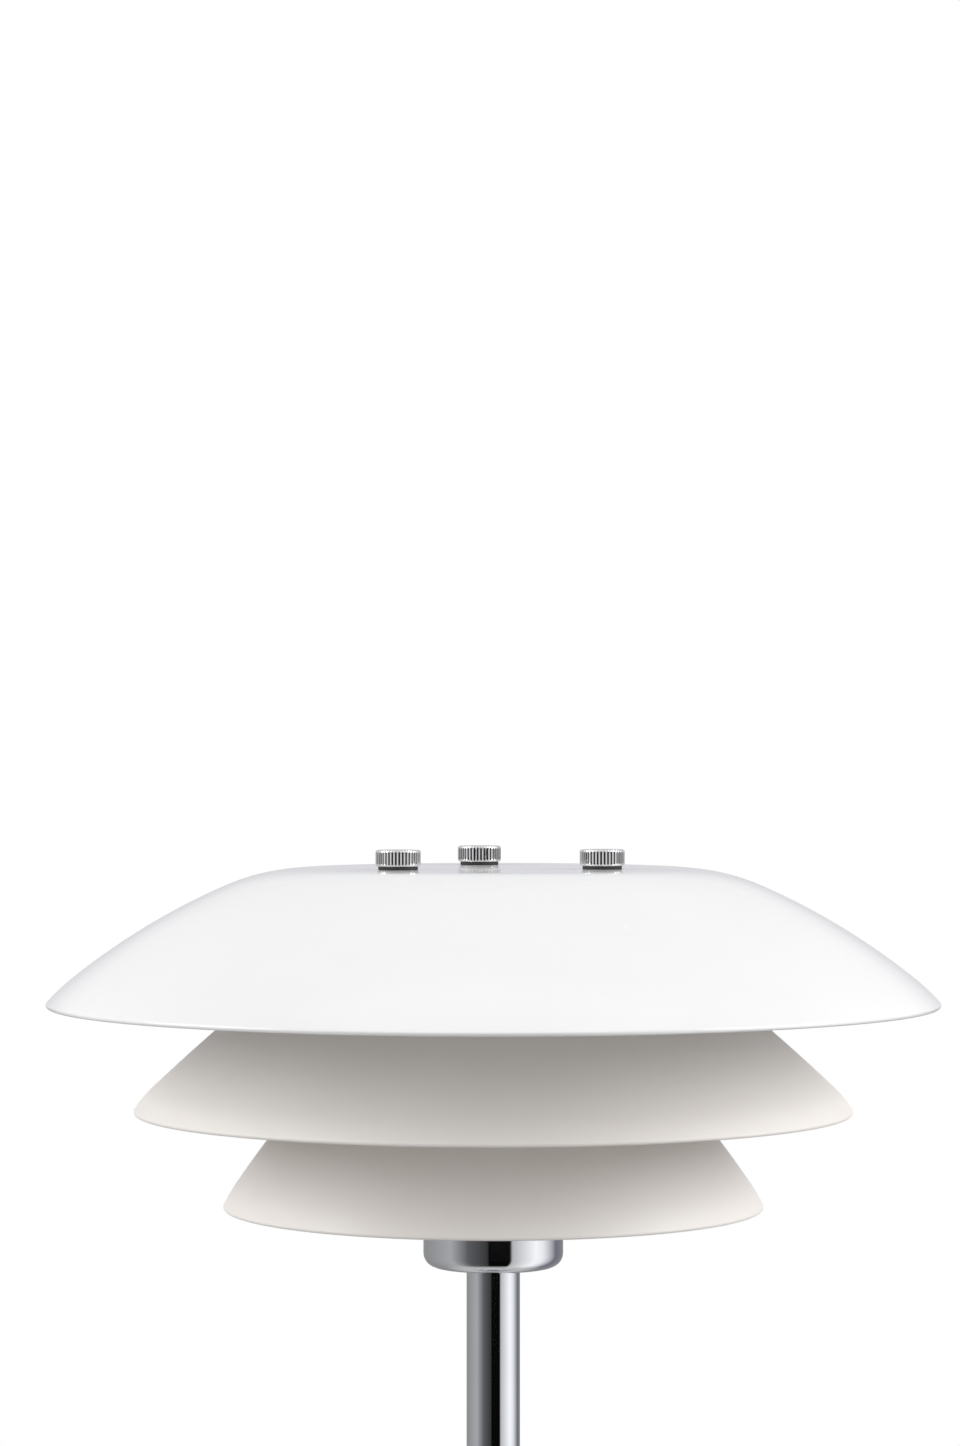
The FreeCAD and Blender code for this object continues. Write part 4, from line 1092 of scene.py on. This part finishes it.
@dataclass(frozen=True)
class Carrier:
    """The spider on the lampholder, its threaded rods and nuts, and the spacers and soft washers on them."""

    hub_radius: float = 18.4
    sleeve_hole: float = 13.4
    arm_width: float = 9.0
    rod_hole: float = 2.2
    rod_radius: float = 2.0
    rod_tip: float = 1.5          # the radius at the rod's broken ends
    thread_pitch: float = 0.7
    thread_depth: float = 0.43
    thread_steepness: float = 2.6  # the higher, the narrower the thread's groove
    nut_flats: float = 7.0
    nut_bore: float = 2.05
    soft_washer_radius: float = 5.0
    soft_washer_thickness: float = 0.8
    fillet_power: float = 22.0    # the lower, the larger the fillet between the hub and an arm
    burr: float = 0.2
    # Rows of the spider, as shares of the way from its hole to its outline.
    shares: tuple[float, ...] = (0.02, 0.2, 0.4, 0.56, 0.64, 0.72, 0.80, 0.88, 0.93, 0.98)
    hole_rows: tuple[int, int] = (3, 8)
    hole_columns: int = 5         # half the columns that a rod's hole takes
    rod_columns: int = 18
    rod_rows: float = 6.0         # to each turn of the thread
    nut_columns: int = 72
    nut_bevel: float = 0.2        # as a share of the nut's height
    nut_bevel_rows: int = 5
    nut_chamfer: float = 0.3

    def spider_edge(self, angles: np.ndarray) -> np.ndarray:
        """The spider's outline as a radius.

        An arm of half width h that ends in a half circle about D reaches h / sin d at an angle d off its middle,
        and D cos d + root(h^2 - D^2 sin^2 d) within its round end. The hub's radius and the arms' are joined as
        (hub^p + arm^p)^(1/p), which leaves a small fillet between them.

        Args:
            angles: angles round the axis.

        Returns:
            The radius at each.
        """
        half = self.arm_width / 2.0
        third = 2.0 * math.pi / 3.0
        off = np.abs((angles - math.radians(Rod.RIGHT.value) + third / 2.0) % third - third / 2.0)
        side = half / np.maximum(np.sin(off), 1e-6)
        inside = half ** 2 - (ROD_CIRCLE * np.sin(off)) ** 2
        end = ROD_CIRCLE * np.cos(off) + np.sqrt(np.clip(inside, 0.0, None))
        arm = np.where((inside > 0.0) & (side * np.cos(off) > ROD_CIRCLE), end, side)
        power = self.fillet_power
        return (self.hub_radius ** power + arm ** power) ** (1.0 / power)

    def spider(self) -> Surface:
        """The pressed spider: rows from its hole to its outline above and below, drilled for the rods.

        Returns:
            Its surface, in millimetres.
        """
        low, high = span("spider")
        angles = around(COLUMNS, Rod.RIGHT.value)
        outline = self.spider_edge(angles)
        shares = np.array(self.shares)
        up = np.column_stack([shares, np.full(len(shares), high)])
        down = np.column_stack([shares[::-1], np.full(len(shares), low)])
        sides = np.array([(1.0, high - self.burr), (1.0, low + self.burr)])
        bore = np.array([(0.0, low + self.burr), (0.0, high - self.burr)])
        profile = np.vstack([up, sides, down, bore])
        radii = self.sleeve_hole + profile[:, :1] * (outline - self.sleeve_hole)
        heights = np.repeat(profile[:, 1:], len(angles), axis=1)
        points = np.stack([radii * np.cos(angles), radii * np.sin(angles), heights], axis=-1)
        last = 2 * len(shares) + 1
        below = (last - self.hole_rows[0], last - self.hole_rows[1])
        return drilled_for_rods(points, self.rod_hole, self.hole_rows, below, self.hole_columns, high - low, True)

    def thread(self, angles: np.ndarray, heights: np.ndarray) -> np.ndarray:
        """A right-handed thread: the radius falls and rises with the height in pitches less the turn in turns."""
        phase = (heights / self.thread_pitch - angles / (2.0 * math.pi)) % 1.0
        return self.rod_radius - self.thread_depth * np.clip(
            1.0 - np.abs(phase - 0.5) * self.thread_steepness, 0.0, 1.0)

    def rod(self, rod: Rod) -> Surface:
        """A threaded rod with broken ends.

        Args:
            rod: which rod.

        Returns:
            Its surface, in millimetres.
        """
        low, high = span(f"shade_rod_{rod.word}")
        heights = np.linspace(low, high, int((high - low) / self.thread_pitch * self.rod_rows))
        radii = np.minimum(self.rod_radius, self.rod_tip + np.minimum(heights - low, high - heights))
        profile = np.vstack([(0.0, low), np.column_stack([radii, heights]), (0.0, high)])
        return turned(profile, around(self.rod_columns), closed=False, limit=self.thread).placed(*rod_place(rod))

    def nut_limit(self, angles: np.ndarray, heights: np.ndarray) -> np.ndarray:
        """A hexagon: half the width across flats over the cosine of the angle from the nearest flat's middle."""
        off = angles % (math.pi / 3.0) - math.pi / 6.0
        return self.nut_flats / 2.0 / np.cos(off)

    def nuts(self) -> Surface:
        """The three nuts under the spider, their corners turned off.

        Returns:
            Their surface, in millimetres.
        """
        low, high = span("rod_nuts")
        flat = self.nut_flats / 2.0
        corner = flat / math.cos(math.pi / 6.0)
        bevel = (high - low) * self.nut_bevel
        rise = np.linspace(0.0, 1.0, self.nut_bevel_rows)
        below = np.column_stack([flat + (corner - flat) * rise, low + bevel * rise])
        above = below[::-1] * (1.0, -1.0) + (0.0, low + high)
        bore, cut = self.nut_bore, self.nut_chamfer
        profile = np.vstack([[(bore, low + cut), (bore + cut, low), (flat - cut, low)], below, above,
                             [(flat - cut, high), (bore + cut, high), (bore, high - cut)]])
        nut = turned(profile, around(self.nut_columns), limit=self.nut_limit)
        return joined([nut.placed(*rod_place(rod)) for rod in Rod])

    def soft_washers(self, shade: str) -> Surface:
        """The soft washers on one shade, below its crown and, where a spacer stands on it, above it.

        Args:
            shade: the shade's name.

        Returns:
            Their surface, in millimetres.
        """
        low, high = span(f"{shade}_shade_washers")
        thick, radius = self.soft_washer_thickness, self.soft_washer_radius
        lows = [low] if high - low < 2.0 * thick else [low, high - thick]
        rings = [turned(rounded((self.rod_hole, z, 0.15), (radius, z, 0.3), (radius, z + thick, 0.3),
                                (self.rod_hole, z + thick, 0.15)), around(SMALL_COLUMNS)) for z in lows]
        return joined([ring.placed(*rod_place(rod)) for ring in rings for rod in Rod])

    def spacer(self, node: str) -> Surface:
        """A spacer sleeve with rounded ends.

        Args:
            node: its node's name.

        Returns:
            Its surface, in millimetres.
        """
        low, high = span(node)
        radius = (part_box(node)[1].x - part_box(node)[0].x) / 2.0 / MM
        profile = rounded((self.rod_hole, low, 0.15), (radius, low, 0.3), (radius, high, 0.3),
                          (self.rod_hole, high, 0.15))
        return turned(profile, around(SMALL_COLUMNS)).placed(*middle(node))

    def build(self) -> None:
        """Makes the spider and all that stands on it."""
        make_piece("carrier_spider", self.spider(), ZINC, "lamp", "zinc_steel", "spider")
        make_piece("carrier_nuts", self.nuts(), ZINC, "lamp", "zinc_steel", "rod_nuts")
        for rod in Rod:
            make_piece(f"threaded_rod_{rod.word}", self.rod(rod), ZINC, "lamp", "zinc_steel",
                       f"shade_rod_{rod.word}")
            for row in ("lower", "middle", "upper"):
                node = f"{row}_spacer_{rod.word}"
                make_piece(f"{row}_sleeve_{rod.word}", self.spacer(node), SATIN_NICKEL, "lamp", "satin_nickel",
                           node)
        for shade in ("bottom", "middle", "top"):
            make_piece(f"{shade}_soft_washers", self.soft_washers(shade), RUBBER, "lamp", "black_rubber",
                       f"{shade}_shade_washers")


# ---------------------------------------------------------------- shades
@dataclass(frozen=True)
class Shade:
    """A round shade: a flat crown, three tangent arcs down to a round rim, and the same a wall further in.

    Drops are below the top shade's crown. A slope is in degrees below the horizontal.
    """

    name: str
    crown_radius: float
    crown_drop: float
    shoulder_radius: float
    flank_radius: float
    lip_radius: float
    lip_slope: float
    rim_radius: float
    rim_drop: float
    finish: Finish
    light_hole: float = 0.0       # radius, or 0 for a closed crown
    wall: float = 1.2
    rod_hole: float = 2.3
    rod_band: tuple[float, float] = (31.0, 21.6)    # the part of the crown that the rods' holes lie in
    band_rows: int = 7
    inner_rows: tuple[float, ...] = (16.0, 8.0, 0.0)
    hole_columns: int = 9         # half the columns that a rod's hole takes
    side_steps: tuple[int, int, int] = (14, 30, 14)
    ease: float = 1.7             # makes the steps finer where the crown bends down
    rim_steps: int = 10
    mouth_steps: int = 8

    def centres(self) -> tuple[np.ndarray, np.ndarray, np.ndarray, np.ndarray, float, float]:
        """Centres of the rim, lip, flank and shoulder arcs, and the slopes where the flank begins and ends.

        The flank's centre lies flank_radius - lip_radius from the lip's and flank_radius - shoulder_radius from
        the shoulder's, on the inner side.

        Returns:
            Centres of the rim, lip, flank and shoulder, and the two slopes in degrees.
        """
        head = span("top_shade")[1]
        slope = math.radians(self.lip_slope)
        out = np.array([math.sin(slope), math.cos(slope)])
        rim = np.array([self.rim_radius - self.wall / 2.0, head - self.rim_drop])
        lip = rim - out * (self.lip_radius - self.wall / 2.0)
        shoulder = np.array([self.crown_radius, head - self.crown_drop - self.shoulder_radius])
        to_lip, to_shoulder = self.flank_radius - self.lip_radius, self.flank_radius - self.shoulder_radius
        apart = float(np.linalg.norm(lip - shoulder))
        along = (to_shoulder ** 2 - to_lip ** 2 + apart ** 2) / (2.0 * apart)
        unit = (lip - shoulder) / apart
        aside = math.sqrt(to_shoulder ** 2 - along ** 2)
        flank = shoulder + unit * along + np.array([unit[1], -unit[0]]) * aside
        begin = math.degrees(math.atan2(*(shoulder - flank)))
        end = math.degrees(math.atan2(*(lip - flank)))
        return rim, lip, flank, shoulder, begin, end

    def side(self, inset: float) -> np.ndarray:
        """The shade's side from the crown's edge to the rim, taken in by inset.

        Args:
            inset: 0 for the outside, and the wall's thickness for the inside.

        Returns:
            Rows of (radius, height).
        """
        _, lip, flank, shoulder, begin, end = self.centres()
        shoulder_steps, flank_steps, lip_steps = self.side_steps
        return np.vstack([arc(shoulder, self.shoulder_radius - inset, 0.0, begin, shoulder_steps, self.ease),
                          arc(flank, self.flank_radius - inset, begin, end, flank_steps)[1:],
                          arc(lip, self.lip_radius - inset, end, self.lip_slope, lip_steps)[1:]])

    def surface(self) -> Surface:
        """The whole shade, drilled for the three rods.

        Returns:
            Its surface, in millimetres.
        """
        rim = self.centres()[0]
        crown = span("top_shade")[1] - self.crown_drop
        tail = [self.light_hole + self.wall / 2.0] if self.light_hole else self.inner_rows
        across = np.concatenate([[self.crown_radius - HOLD_MM], np.linspace(*self.rod_band, self.band_rows), tail])
        top = np.column_stack([across, np.full(len(across), crown)])[::-1]
        under = np.column_stack([across, np.full(len(across), crown - self.wall)])
        edge = arc(rim, self.wall / 2.0, self.lip_slope, self.lip_slope + 180.0, self.rim_steps)[1:-1]
        parts = [top, self.side(0.0), edge, self.side(self.wall)[::-1]]
        first_under = sum(map(len, parts))
        parts.append(under)
        if self.light_hole:
            mouth = np.array([self.light_hole + self.wall / 2.0, crown - self.wall / 2.0])
            parts.append(arc(mouth, self.wall / 2.0, 180.0, 360.0, self.mouth_steps)[1:-1])
        points = turned_points(np.vstack(parts), around(COLUMNS, Rod.RIGHT.value))
        above = (len(across) - self.band_rows - 1, len(across) - 2)
        below = (first_under + self.band_rows, first_under + 1)
        return drilled_for_rods(points, self.rod_hole, above, below, self.hole_columns, self.wall,
                                bool(self.light_hole))

    def build(self) -> None:
        """Makes the shade."""
        make_piece(f"{self.name}_shade_shell", self.surface(), self.finish, "lamp", "white_lacquer",
                   f"{self.name}_shade")


SHADES = (
    Shade("top", 41.5, 0.0, 47.0, 152.0, 48.0, 48.0, 100.0, 30.15, GLOSS_LACQUER),
    Shade("middle", 36.0, 18.3, 12.0, 420.0, 24.0, 57.2, 80.5, 54.15, SATIN_LACQUER, light_hole=19.5),
    Shade("bottom", 34.0, 45.5, 9.0, 260.0, 35.0, 64.4, 60.5, 75.65, SATIN_LACQUER, light_hole=19.5),
)


# ---------------------------------------------------------------- thumb nuts
@dataclass(frozen=True)
class ThumbNut:
    """A knurled cap on its brass insert, with a black washer under it."""

    rod: Rod
    radius: float = 5.0
    rounding: float = 0.55
    ribs: int = 40
    rib_depth: float = 0.38
    bore: float = 3.15
    bore_depth: float = 2.85
    rod_hole: float = 2.2
    insert_bore: float = 2.05
    # Across one pitch, from the middle of a rib: where the edge bends, and how deep it is there as a share.
    bends: tuple[float, ...] = (0.0, 0.19, 0.23, 0.325, 0.42, 0.5, 0.58, 0.675, 0.77, 0.81)
    depths: tuple[float, ...] = (0.0, 0.0, 0.08, 0.54, 1.0, 1.0, 1.0, 0.54, 0.08, 0.0)

    def knurl(self, angles: np.ndarray, heights: np.ndarray) -> np.ndarray:
        """The ribbed edge: straight runs between the bends, repeated at each rib."""
        share = angles * self.ribs / (2.0 * math.pi) % 1.0
        return self.radius - self.rib_depth * np.interp(share, self.bends, self.depths, period=1.0)

    def cap(self) -> Surface:
        """The cap: a rounded disc no wider than its ribs, bored from below.

        Returns:
            Its surface, in millimetres. It stands on the axis.
        """
        low, high = span(f"thumb_nut_{self.rod.word}")
        profile = rounded((0.0, high, 0.0), (self.radius, high, self.rounding), (self.radius, low, self.rounding),
                          (self.bore, low, 0.15), (self.bore, low + self.bore_depth, 0.0),
                          (0.0, low + self.bore_depth, 0.0), closed=False)
        shares = np.arange(self.ribs)[:, None] + np.array(self.bends)
        angles = shares.ravel() * 2.0 * math.pi / self.ribs
        return turned(profile, angles, closed=False, limit=self.knurl)

    def mark_grooves(self, cap: bpy.types.Object) -> None:
        """Writes each point's depth in its groove, (radius - distance from the rod) / rib_depth, which sets how
        much painted shade the finish puts there.

        Args:
            cap: the finished cap.
        """
        mesh = cap.data
        low, high = span(f"thumb_nut_{self.rod.word}")
        points = np.empty(len(mesh.vertices) * 3)
        mesh.vertices.foreach_get("co", points)
        x, y, z = (points.reshape(-1, 3) / MM).T
        out = np.hypot(x - rod_place(self.rod)[0], y - rod_place(self.rod)[1])
        spare = 0.01
        upright = np.minimum(z - low, high - z) > self.rounding - spare
        ribbed = out > self.radius - self.rib_depth - spare
        depth = np.where(upright & ribbed, np.clip((self.radius - out) / self.rib_depth, 0.0, 1.0), 0.0)
        mesh.attributes.new(NICKEL.depth_name, "FLOAT", "POINT").data.foreach_set("value", depth)

    def sleeve(self, node: str, inside: float, rounding: float) -> Surface:
        """A ring as wide and as high as a node.

        Args:
            node: the node's name.
            inside: the ring's inner radius.
            rounding: the radius of its edges.

        Returns:
            Its surface, in millimetres. It stands on the axis.
        """
        low, high = span(node)
        radius = (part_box(node)[1].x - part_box(node)[0].x) / 2.0 / MM
        return turned(rounded((inside, low, rounding), (radius, low, rounding), (radius, high, rounding),
                              (inside, high, rounding)), around(SMALL_COLUMNS))

    def build(self) -> None:
        """Makes the nut on its rod."""
        word = self.rod.word
        place = rod_place(self.rod)
        cap, insert, washer = f"thumb_nut_{word}", f"thumb_nut_insert_{word}", f"thumb_nut_washer_{word}"
        self.mark_grooves(make_piece(f"knurled_cap_{word}", self.cap().placed(*place), NICKEL, cap,
                                     "bright_nickel", cap))
        make_piece(f"tapped_insert_{word}", self.sleeve(insert, self.insert_bore, 0.12).placed(*place), BRASS,
                   f"thumb_insert_{word}", "brass", insert)
        make_piece(f"cap_washer_{word}", self.sleeve(washer, self.rod_hole, 0.2).placed(*place), RUBBER, "lamp",
                   "black_rubber", washer)


# ---------------------------------------------------------------- studio
@dataclass(frozen=True)
class Softbox:
    """A square lamp that looks at a point, with its brightness as a radiance: power = pi * area * radiance."""

    name: str
    place: tuple[float, float, float]
    size: float
    radiance: float
    aim: tuple[float, float, float] = (0.0, 0.0, 0.3)

    def build(self) -> None:
        """Makes the lamp."""
        light = bpy.data.lights.new(self.name, "AREA")
        light.shape = "SQUARE"
        light.size = self.size
        light.energy = math.pi * self.size ** 2 * self.radiance
        lamp = bpy.data.objects.new(self.name, light)
        lamp.location = self.place
        lamp.rotation_euler = (Vector(self.aim) - Vector(self.place)).to_track_quat("-Z", "Y").to_euler()
        bpy.context.scene.collection.objects.link(lamp)


@dataclass(frozen=True)
class Studio:
    """The camera, a pale floor and a white studio that is dark round the camera."""

    lens: float = 94.52
    camera_place: tuple[float, float, float] = (0.0, -0.854, 0.37955)
    pitch: float = 0.578          # degrees above the horizontal
    yaw: float = 0.2              # degrees to the left
    long_side: float = 36.0       # of the camera's frame, in millimetres
    softboxes: tuple[Softbox, ...] = (
        Softbox("overhead_softbox", (0.0, -0.35, 1.5), 1.3, 0.35),
        Softbox("left_softbox", (-1.15, -0.25, 0.85), 0.8, 4.2),
        Softbox("right_softbox", (1.15, -0.25, 0.85), 0.8, 4.9))
    floor_radius: float = 1.2
    floor_rings: int = 13
    floor_fade: tuple[float, float] = (0.08, 0.9)   # it fades to white between these distances
    floor_white: float = 0.35     # how white it is before that
    floor_mirrored: tuple[float, float] = (0.1, 0.3)   # and it leaves polished metal's view between these
    floor_seen: str = "#E6E6E5"
    floor_bounce: str = "#A0A0A0"  # less comes back up than from a white table this wide
    # What lights all but polished metal, by the upward part of the direction: brightest near the horizon.
    ambient: tuple[tuple[float, str], ...] = ((0.0, "#E2E2E2"), (0.3, "#DADADA"), (0.65, "#ADADAD"))
    mirror_strength: float = 1.5  # what polished metal sees is brighter than what lights the rest
    # What polished metal sees below the camera's height, by the azimuth in degrees from the camera's side
    # towards +X: a grey wall to the left, a black screen round the camera, a window to the right and a dark
    # corner behind it.
    bands: tuple[tuple[float, str], ...] = (
        (-180.0, "#888888"), (-150.0, "#888888"), (-75.0, "#AAAAAC"), (-42.0, "#5C5C5E"), (-10.0, "#383839"),
        (-7.0, "#080808"), (28.0, "#080808"), (32.0, "#BBBBBD"), (75.0, "#FFFFFF"), (90.0, "#F0F0F2"),
        (125.0, "#70707A"), (180.0, "#888888"))
    # The same in a thin strip at the camera's height, which the thumb nuts mirror: bright in front, and a dark
    # wall to each side.
    level_bands: tuple[tuple[float, str], ...] = (
        (-180.0, "#AAAAAF"), (-163.0, "#AAAAAF"), (-155.0, "#181818"), (-95.0, "#181818"), (-80.0, "#CCCCCE"),
        (80.0, "#CCCCCE"), (95.0, "#181818"), (155.0, "#181818"), (163.0, "#AAAAAF"), (180.0, "#AAAAAF"))
    strip_low: tuple[float, float] = (-0.1, -0.085)    # where the strip begins and ends, by the upward part
    strip_high: tuple[float, float] = (0.004, 0.024)
    # And above it, by the upward part of the direction.
    above: tuple[tuple[float, str], ...] = ((0.0, "#A8A8AD"), (0.12, "#A8A8AD"), (0.3, "#C4C4C6"))

    def build(self) -> None:
        """Makes the studio."""
        self.camera()
        self.world()
        self.floor()
        for softbox in self.softboxes:
            softbox.build()

    def camera(self) -> None:
        """Puts the camera where the photograph was taken."""
        data = bpy.data.cameras.new("photo_camera")
        data.lens = self.lens
        data.sensor_width = self.long_side
        data.clip_start = 0.05
        camera = bpy.data.objects.new("photo_camera", data)
        camera.location = self.camera_place
        camera.rotation_euler = tuple(map(math.radians, (90.0 + self.pitch, 0.0, self.yaw)))
        bpy.context.scene.collection.objects.link(camera)
        bpy.context.scene.camera = camera

    def world(self) -> None:
        """White to the camera, bands of grey to polished metal, and an even light on everything else."""
        world = bpy.data.worlds.new("studio")
        world.use_nodes = True
        bpy.context.scene.world = world
        tree = world.node_tree
        tree.nodes.clear()
        way = add_node(tree, "ShaderNodeTexCoord").outputs["Generated"]
        parts = add_node(tree, "ShaderNodeSeparateXYZ", None, {"Vector": way})
        front = add_node(tree, "ShaderNodeMath", {"operation": "MULTIPLY"}, {0: parts.outputs["Y"], 1: -1.0})
        azimuth = add_node(tree, "ShaderNodeMath", {"operation": "ARCTAN2"},
                           {0: parts.outputs["X"], 1: front.outputs[0]})
        share = add_node(tree, "ShaderNodeMapRange", None,
                         {"Value": azimuth.outputs[0], "From Min": -math.pi, "From Max": math.pi})
        below, level = (add_node(tree, "ShaderNodeValToRGB",
                                 {"stops": [((angle + 180.0) / 360.0, colour) for angle, colour in bands]},
                                 {"Fac": share.outputs["Result"]}) for bands in (self.bands, self.level_bands))
        rise = add_node(tree, "ShaderNodeMapRange", None,
                        {"Value": parts.outputs["Z"], "From Min": self.strip_low[0],
                         "From Max": self.strip_low[1]})
        round_lamp = add_node(tree, "ShaderNodeMix", {"data_type": "RGBA"},
                              {"Factor": rise.outputs["Result"], 6: below.outputs["Color"],
                               7: level.outputs["Color"]})
        above = add_node(tree, "ShaderNodeValToRGB", {"stops": self.above}, {"Fac": parts.outputs["Z"]})
        high = add_node(tree, "ShaderNodeMapRange", None,
                        {"Value": parts.outputs["Z"], "From Min": self.strip_high[0],
                         "From Max": self.strip_high[1]})
        mirror = add_node(tree, "ShaderNodeMix", {"data_type": "RGBA"},
                          {"Factor": high.outputs["Result"], 6: round_lamp.outputs[2],
                           7: above.outputs["Color"]})
        ray = add_node(tree, "ShaderNodeLightPath")
        strength = add_node(tree, "ShaderNodeMapRange", None,
                            {"Value": ray.outputs["Is Glossy Ray"], "To Min": 1.0, "To Max": self.mirror_strength})
        even = add_node(tree, "ShaderNodeValToRGB", {"stops": self.ambient}, {"Fac": parts.outputs["Z"]})
        lit = add_node(tree, "ShaderNodeMix", {"data_type": "RGBA"},
                       {"Factor": ray.outputs["Is Glossy Ray"], 6: even.outputs["Color"], 7: mirror.outputs[2]})
        seen = add_node(tree, "ShaderNodeMath", {"operation": "MAXIMUM"},
                        {0: ray.outputs["Is Camera Ray"], 1: ray.outputs["Is Transmission Ray"]})
        colour = add_node(tree, "ShaderNodeMix", {"data_type": "RGBA"},
                          {"Factor": seen.outputs[0], 6: lit.outputs[2], 7: linear("#FFFFFF")})
        back = add_node(tree, "ShaderNodeBackground", None,
                        {"Color": colour.outputs[2], "Strength": strength.outputs["Result"]})
        add_node(tree, "ShaderNodeOutputWorld", None, {"Surface": back.outputs[0]})

    def floor(self) -> None:
        """A pale disc that keeps the lamp's shadow and fades to white, and that is clear from below."""
        rings = np.linspace(0.0, self.floor_radius / MM, self.floor_rings)
        disc = turned(np.column_stack([rings, np.zeros(len(rings))]), around(SMALL_COLUMNS), closed=False)
        mesh = bpy.data.meshes.new("floor")
        mesh.from_pydata((disc.points * MM).tolist(), [], disc.faces[0].tolist())
        clean(mesh)
        if mesh.polygons[0].normal.z < 0.0:
            mesh.flip_normals()
        floor = bpy.data.objects.new("floor", mesh)
        bpy.context.scene.collection.objects.link(floor)
        made = bpy.data.materials.new("pale_floor")
        made.use_nodes = True
        mesh.materials.append(made)
        tree = made.node_tree
        tree.nodes.clear()
        where = add_node(tree, "ShaderNodeTexCoord").outputs["Object"]
        out = add_node(tree, "ShaderNodeVectorMath", {"operation": "LENGTH"}, {0: where})
        far = add_node(tree, "ShaderNodeMapRange", {"interpolation_type": "SMOOTHSTEP"},
                       {"Value": out.outputs["Value"], "From Min": self.floor_fade[0],
                        "From Max": self.floor_fade[1], "To Min": self.floor_white})
        ray = add_node(tree, "ShaderNodeLightPath")
        seen = add_node(tree, "ShaderNodeMath", {"operation": "MAXIMUM"},
                        {0: ray.outputs["Is Camera Ray"], 1: ray.outputs["Is Transmission Ray"]})
        white = add_node(tree, "ShaderNodeMath", {"operation": "MULTIPLY"},
                         {0: seen.outputs[0], 1: far.outputs["Result"]})
        beyond = add_node(tree, "ShaderNodeMapRange", {"interpolation_type": "SMOOTHSTEP"},
                          {"Value": out.outputs["Value"], "From Min": self.floor_mirrored[0],
                           "From Max": self.floor_mirrored[1]})
        mirrored = add_node(tree, "ShaderNodeMath", {"operation": "MULTIPLY"},
                            {0: ray.outputs["Is Glossy Ray"], 1: beyond.outputs["Result"]})
        bounce = add_node(tree, "ShaderNodeMix", {"data_type": "RGBA"},
                          {"Factor": ray.outputs["Is Diffuse Ray"], 6: linear(self.floor_seen),
                           7: linear(self.floor_bounce)})
        matt = add_node(tree, "ShaderNodeBsdfDiffuse", None, {"Color": bounce.outputs[2]})
        glow = add_node(tree, "ShaderNodeEmission", None, {"Color": linear("#FFFFFF"), "Strength": 1.0})
        top = add_node(tree, "ShaderNodeMixShader", None,
                       {0: white.outputs[0], 1: matt.outputs[0], 2: glow.outputs[0]})
        clear = add_node(tree, "ShaderNodeBsdfTransparent")
        side = add_node(tree, "ShaderNodeNewGeometry").outputs["Backfacing"]
        through = add_node(tree, "ShaderNodeMath", {"operation": "MAXIMUM"}, {0: side, 1: mirrored.outputs[0]})
        both = add_node(tree, "ShaderNodeMixShader", None,
                        {0: through.outputs[0], 1: top.outputs[0], 2: clear.outputs[0]})
        add_node(tree, "ShaderNodeOutputMaterial", None, {"Surface": both.outputs[0]})


def main() -> None:
    """Builds the studio and the lamp."""
    logging.basicConfig(level=logging.INFO, format="%(name)s: %(message)s")
    bpy.context.scene.view_settings.view_transform = "Standard"
    Studio().build()
    for assembly in (Base(), Holder(), Bulb(), Carrier(), *SHADES, *map(ThumbNut, Rod)):
        assembly.build()


if __name__ == "__main__":
    main()
